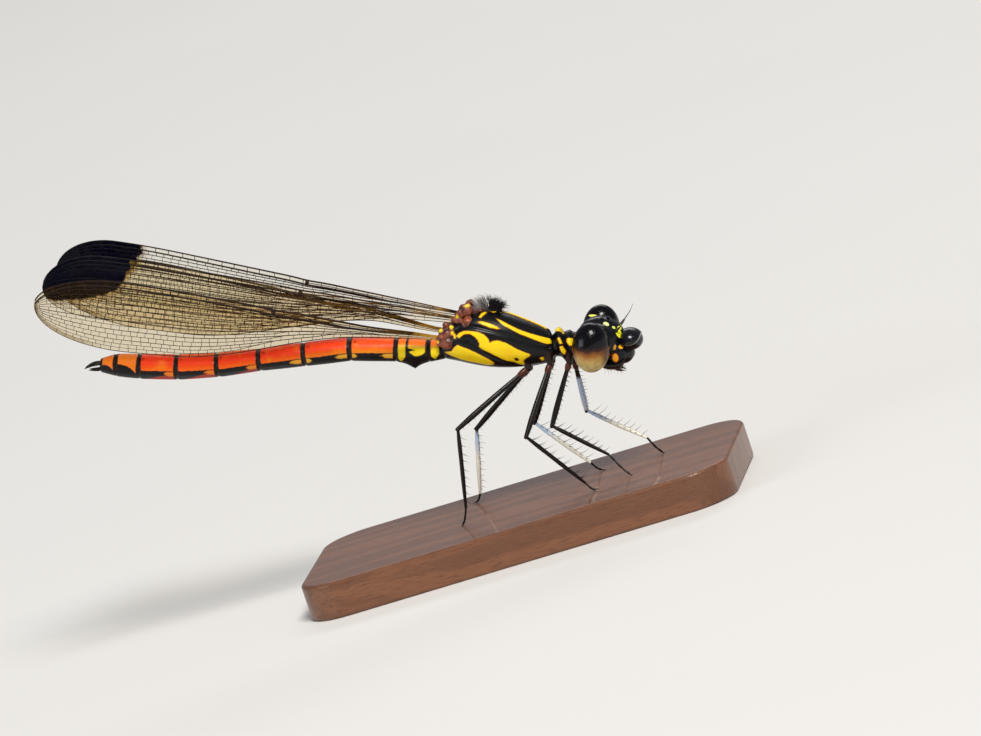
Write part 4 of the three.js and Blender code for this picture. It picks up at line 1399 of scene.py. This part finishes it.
def vein_lines(veins, wing, draw):
    """Each vein's places along the wing, its lanes and its radii."""
    tip = wing["length"] - 0.02
    lines = []
    for vein in veins:
        u = vein[1] + (tip - vein[1]) * (1 - (1 - np.linspace(0, 1, 90)) ** 1.4)
        taper = np.interp(u, [0, 5, tip], [0.72, 1.0, 0.65])
        lines.append((u, vein_lane(vein, u), vein[3] * taper))
    # The vein between the front two, up to the nodus
    u = np.linspace(-0.25, wing["nodus"], 40)
    lines.append((u, np.full(40, 0.966), np.full(40, 0.017)))
    # The nodus itself: two stout cross veins side by side
    for beyond, thick in ((0, 0.05), (0.05, 0.06)):
        lines.append((np.full(4, wing["nodus"] + beyond), np.linspace(0.92, 1.0, 4), np.full(4, thick)))

    def gap(upper, lower, u):
        pair = [vein_lane(vein, u) for vein in (upper, lower)]
        ends = [spaced(wing, u, lane) for lane in pair]
        return (ends[0] - ends[1]) * sum(breadth(wing, u)), pair

    for index, upper in enumerate(veins[:-1]):
        below = veins[index + 1:]
        spacing = 0.56 if index == 0 else 0.32 + 0.03 * (index % 3)
        u = 0.9 + spacing * draw.random()
        while u < tip - 0.12:
            if upper[1] <= u:
                lower = next(vein for vein in below if vein[1] <= u)
                width, pair = gap(upper, lower, u)
                if width > 0.05:
                    slant = 0.07 * (draw.random() - 0.5)
                    lanes = np.linspace(pair[0], pair[1], 3)
                    fine = 0.015 if index < 2 else 0.0105
                    lines.append((u + slant * np.array([0, 0.5, 1]), lanes, np.full(3, fine)))
            scale = 1.0 if u > 6 else 1.25
            u += spacing * scale * (0.85 + 0.3 * draw.random())
    return lines


def add_veins(kind, name, wing, side, draw):
    """Long veins with cross veins between each pair, as thin tubes on the membrane."""
    curve = bpy.data.curves.new(f"wing_{name}_veins", "CURVE")
    curve.dimensions = "3D"
    curve.bevel_depth = 1
    curve.bevel_resolution = 1
    curve.use_fill_caps = True
    for u, lane, radius in vein_lines(LONG_VEINS[kind], wing, draw):
        points, _ = wing_surface(wing, side, u, spaced(wing, u, lane))
        spline = curve.splines.new("POLY")
        spline.points.add(len(points) - 1)
        spline.points.foreach_set("co", np.column_stack([points, np.ones(len(points))]).ravel())
        spline.points.foreach_set("radius", radius)
    piece = bpy.data.objects.new(curve.name, curve)
    bpy.context.scene.collection.objects.link(piece)
    choose(piece)
    bpy.ops.object.convert(target="MESH")
    piece = bpy.context.object
    pitch = math.radians(wing["pitch"])
    x, _, z = vertices(piece).T
    outward = -(x - wing["root"].x) * math.cos(pitch) + (z - wing["root"].z) * math.sin(pitch)
    dark = smooth_step((outward - 12.7) / 0.3) * (kind == "fore")
    remember(piece, "wing", np.column_stack([outward, dark, outward]))
    finished(piece, PAINTS["vein"], (), 80)


# Wing hinges: rounded plates, each with its place on the left side and its radius
HINGES = {
    "fore": [
        ((-0.05, 0.6, 2.58), 0.26), ((-0.2, 0.68, 2.12), 0.3), ((-0.38, 0.58, 2.54), 0.2),
        ((-0.48, 0.62, 2.3), 0.18), ((0.0, 0.45, 2.7), 0.17), ((-0.66, 0.6, 2.36), 0.15),
        ((0.2, 0.48, 2.42), 0.15), ((0.42, 0.4, 2.4), 0.12),
    ],
    "hind": [
        ((-1.2, 0.74, 1.6), 0.32), ((-1.1, 0.72, 1.93), 0.25), ((-1.42, 0.74, 1.84), 0.2),
        ((-1.52, 0.78, 1.66), 0.16), ((-0.9, 0.8, 1.92), 0.16), ((-1.3, 0.7, 2.08), 0.15),
        ((-0.86, 0.74, 2.14), 0.14),
    ],
}
# Yellow spots on them: place and radius
HINGE_SPOTS = {
    "fore": [((0.0, 0.6, 2.79), 0.14), ((-0.5, 0.7, 2.5), 0.08)],
    "hind": [
        ((-1.3, 0.8, 2.18), 0.1), ((-0.82, 0.86, 2.18), 0.11), ((-1.56, 0.9, 1.78), 0.08),
        ((-0.84, 0.94, 1.94), 0.09),
    ],
}


def add_hinge(kind, side, sign):
    draw = random.Random(kind)
    lumps = []
    for place, radius in HINGES[kind]:
        deselect()
        bpy.ops.mesh.primitive_uv_sphere_add(segments=28, ring_count=18, radius=1, location=place)
        lump = bpy.context.object
        lump.rotation_euler = [draw.uniform(-0.6, 0.6) for _ in range(3)]
        lump.scale = [radius * draw.uniform(0.78, 1.05) for _ in range(3)]
        bpy.ops.object.transform_apply(location=True, rotation=True, scale=True)
        lumps.append(lump)
    piece = joined(lumps, f"hinge_{kind}_{side}_plates")
    melted(piece, 7)
    place = vertices(piece)
    x, y, z = place.T
    # Folds between the swellings of each plate
    folds = np.sin(x * 21 + 2 * np.sin(z * 13)) * np.sin(z * 19 + y * 9)
    place += normals(piece) * (0.008 * folds)[:, None]
    marking = np.full(len(place), -1.0)
    for spot_place, size in HINGE_SPOTS[kind]:
        marking = np.maximum(marking, size - np.linalg.norm(place - np.array(spot_place), axis=1))
    place[:, 1] *= sign
    move_vertices(piece, place)
    if sign < 0:
        piece.data.flip_normals()
    remember(piece, "marking", marking)
    finished(piece, PAINTS["hinge"], [f"wing_base_{kind}_{side}"])


def add_wings():
    draw = random.Random(7)
    for side, sign in SIDES.items():
        for kind, wing in (("fore", FORE_WING), ("hind", HIND_WING)):
            name = f"{kind}_{side}"
            add_membrane(kind, name, wing, sign)
            add_veins(kind, name, wing, sign, draw)
            add_hinge(kind, side, sign)


# Tuft of curved bristles on the thorax: the middle of its roots, and the slope that it stands on
TUFT_MIDDLE = np.array([0.74, 0, 2.26])
TUFT_SLOPE = math.radians(20)
TUFT_FORWARD = np.array([math.cos(TUFT_SLOPE), 0, -math.sin(TUFT_SLOPE)])
TUFT_UPWARD = np.array([math.sin(TUFT_SLOPE), 0, math.cos(TUFT_SLOPE)])


def tuft_locks(draw):
    """Locks in rows, pale with a painted sheen behind and dark in front. Each fans a little from its own
    root.
    """
    middle, forward, upward = TUFT_MIDDLE, TUFT_FORWARD, TUFT_UPWARD
    places, tones = [], []
    for row in np.linspace(-1, 1, 9):
        for across in np.linspace(-1, 1, 5):
            along = row + draw.uniform(-0.1, 0.1)
            sunk = upward * 0.1 * (along**2 + across**2)
            root = middle + forward * along * 0.32 + np.array([0, across * 0.28, 0]) - sunk
            lean = math.radians(36) * along - 0.1
            # How pale a lock is: a painted sheen, strongest on the rear locks
            pale = 0.8 - 0.8 * smooth_step((along + 0.75) / 1.1) + draw.uniform(-0.2, 0.2)
            tall = (0.66 - 0.1 * along - 0.1 * abs(across)) * draw.uniform(0.86, 1.08)
            lock_lean = lean + draw.uniform(-0.12, 0.12)
            lock_curl = draw.uniform(-0.13, 0.13) * forward + np.array([0, draw.uniform(-0.1, 0.1), 0])
            for _ in range(9):
                angle = lock_lean + draw.uniform(-0.17, 0.17)
                aside = 0.45 * across + draw.uniform(-0.2, 0.2)
                way = forward * math.sin(angle) + upward * math.cos(angle) + np.array([0, aside, 0])
                way /= np.linalg.norm(way)
                start = root + np.array([draw.uniform(-0.05, 0.05), draw.uniform(-0.05, 0.05), 0])
                bow = lock_curl * draw.uniform(0.6, 1.4) + upward * 0.03
                tip = start + way * tall * draw.uniform(0.75, 1.08)
                places.append((start, tip, draw.uniform(0.013, 0.021), bow))
                tones.append(pale + draw.uniform(-0.2, 0.2))
    return places, tones


def tuft_brush(draw):
    """Dark bristles in front, which curl over forwards into a rounded brush."""
    middle, forward, upward = TUFT_MIDDLE, TUFT_FORWARD, TUFT_UPWARD
    places, tones = [], []
    for _ in range(120):
        turn = math.radians(draw.uniform(-14, 84))
        across = draw.uniform(-1, 1)
        along = draw.uniform(0.18, 0.3)
        root = middle + forward * along + np.array([0, across * 0.26, 0]) - upward * 0.05
        way = forward * math.sin(turn) + upward * math.cos(turn) + np.array([0, across * 0.2, 0])
        curl = (upward * math.sin(turn) - forward * math.cos(turn) * 0.4) * draw.uniform(0.08, 0.17)
        places.append((root, root + way * draw.uniform(0.38, 0.56), 0.019, curl))
        tones.append(draw.uniform(0, 0.3))
    return places, tones


def add_tuft():
    middle, forward, upward = TUFT_MIDDLE, TUFT_FORWARD, TUFT_UPWARD
    draw = random.Random(11)
    locks, lock_sheen = tuft_locks(draw)
    brush, brush_sheen = tuft_brush(draw)
    places = locks + brush
    # On the baking map each bristle has its root's place on the flattened thorax
    roots = np.array([place[0] for place in places]) - middle
    corners = np.column_stack([0.5 + roots @ forward / 1.3, 0.62 + roots[:, 1]])
    hair = bristles("tuft_hair", places, corners)
    count = len(hair.data.vertices) // len(places)
    # The pale attribute carries each bristle's painted sheen
    remember(hair, "pale", np.repeat(lock_sheen + brush_sheen, count))
    # A dark core under the roots, on its own strip of the map
    ends = [middle - forward * 0.56 - upward * 0.12, middle + forward * 0.56 - upward * 0.12]
    widths = [(0.05, 0.04), (0.26, 0.2), (0.32, 0.26), (0.3, 0.24), (0.05, 0.04)]
    core = limb("core", ends, widths, 16, 16)
    remember(core, "pale", np.zeros(len(core.data.vertices)))
    offset = vertices(core) - middle
    along = offset @ forward / 1.3
    turn = turns(offset[:, 1], offset @ upward + 0.12)
    strip = np.full((len(along), 2), [0.5, 0.02])
    core.data.uv_layers.remove(core.data.uv_layers[0])
    add_bake_map(core, along, turn, strip, np.array([0.9, 0.16]))
    tuft = joined([hair, core], "thorax_tuft_bristles")
    finished(tuft, PAINTS["tuft"], ["thorax_tuft"])


def add_claspers():
    """An upper and a lower clasper on each side of the abdomen's tip."""
    tip = abdomen_joints()[-1]
    pitch = math.radians(PITCHES[-1])
    back = np.array([-math.cos(pitch), 0, math.sin(pitch)])
    for side, sign in SIDES.items():
        root = np.array([tip.x + 0.05, 0.18 * sign, tip.z + 0.1])
        middle = root + 0.36 * back + np.array([0, 0.04 * sign, -0.05])
        end = root + 0.73 * back + np.array([0, -0.02 * sign, -0.2])
        upper = limb("upper", [root, middle, end], [0.05, 0.065, 0.055, 0.042, 0.014], 12, 14)
        low_root = root - np.array([0, 0.04 * sign, 0.24])
        sag = [0, 0, -0.03]
        low_path = [low_root, low_root + 0.28 * back + sag, low_root + 0.58 * back + sag]
        lower = limb("lower", low_path, [0.05, 0.06, 0.045, 0.014], 12, 10)
        for part in (upper, lower):
            remember(part, "leg", np.zeros((len(part.data.vertices), 3)))
        piece = joined([upper, lower], f"clasper_{side}")
        finished(piece, PAINTS["leg"], [f"cercus_{side}"])


def add_light(name, place, aim, size, power, colour=(1, 1, 1)):
    bpy.ops.object.light_add(type="AREA", location=Vector(place))
    light = bpy.context.object
    light.name = name
    light.data.shape = "RECTANGLE"
    light.data.size, light.data.size_y = size
    light.data.energy = power
    light.data.color = colour
    light.rotation_euler = (Vector(aim) - Vector(place)).to_track_quat("-Z", "Y").to_euler()


def add_studio():
    deselect()
    bpy.ops.mesh.primitive_plane_add(size=3, location=(0, 0, 0))
    floor = bpy.context.object
    floor.name = "floor"
    floor.data.materials.append(floor_paint())
    world = bpy.data.worlds.new("studio")
    world.use_nodes = True
    world.node_tree.nodes["Background"].inputs["Color"].default_value = (0.9, 0.93, 1, 1)
    world.node_tree.nodes["Background"].inputs["Strength"].default_value = 0.26
    bpy.context.scene.world = world
    aim = BODY * MM
    add_light("key", (0.3, -0.55, 0.75), aim, (0.3, 0.3), 9.2, (1, 0.96, 0.9))
    add_light("fill", (-0.3, -0.2, 0.14), aim, (0.2, 0.14), 0.3, (0.9, 0.95, 1))
    add_light("rim", (0.02, 0.3, 0.22), aim, (0.24, 0.1), 0.22)
    bpy.context.scene.view_settings.view_transform = "Standard"


# The scene and the model's pieces
add_camera()
add_studio()
PAINTS = {
    "thorax": thorax_paint(), "head": head_paint(), "eye": eye_paint(), "leg": leg_paint(),
    "fore": membrane_paint("forewing_membrane", (0.98, 0.97, 0.93), 0.05, 0.0),
    "hind": membrane_paint("hindwing_membrane", (0.95, 0.9, 0.79), 0.06, 0.3),
    "vein": vein_paint(), "hinge": hinge_paint(), "bristle": bristle_paint(), "tuft": tuft_paint(),
    "nose": nose_paint(), "mouth": mouth_paint(),
}
add_stand()
add_thorax()
add_prothorax()
add_abdomen()
add_claspers()
add_skull()
add_eyes()
add_nose()
add_mouth()
add_feelers()
add_tuft()
add_legs()
add_wings()
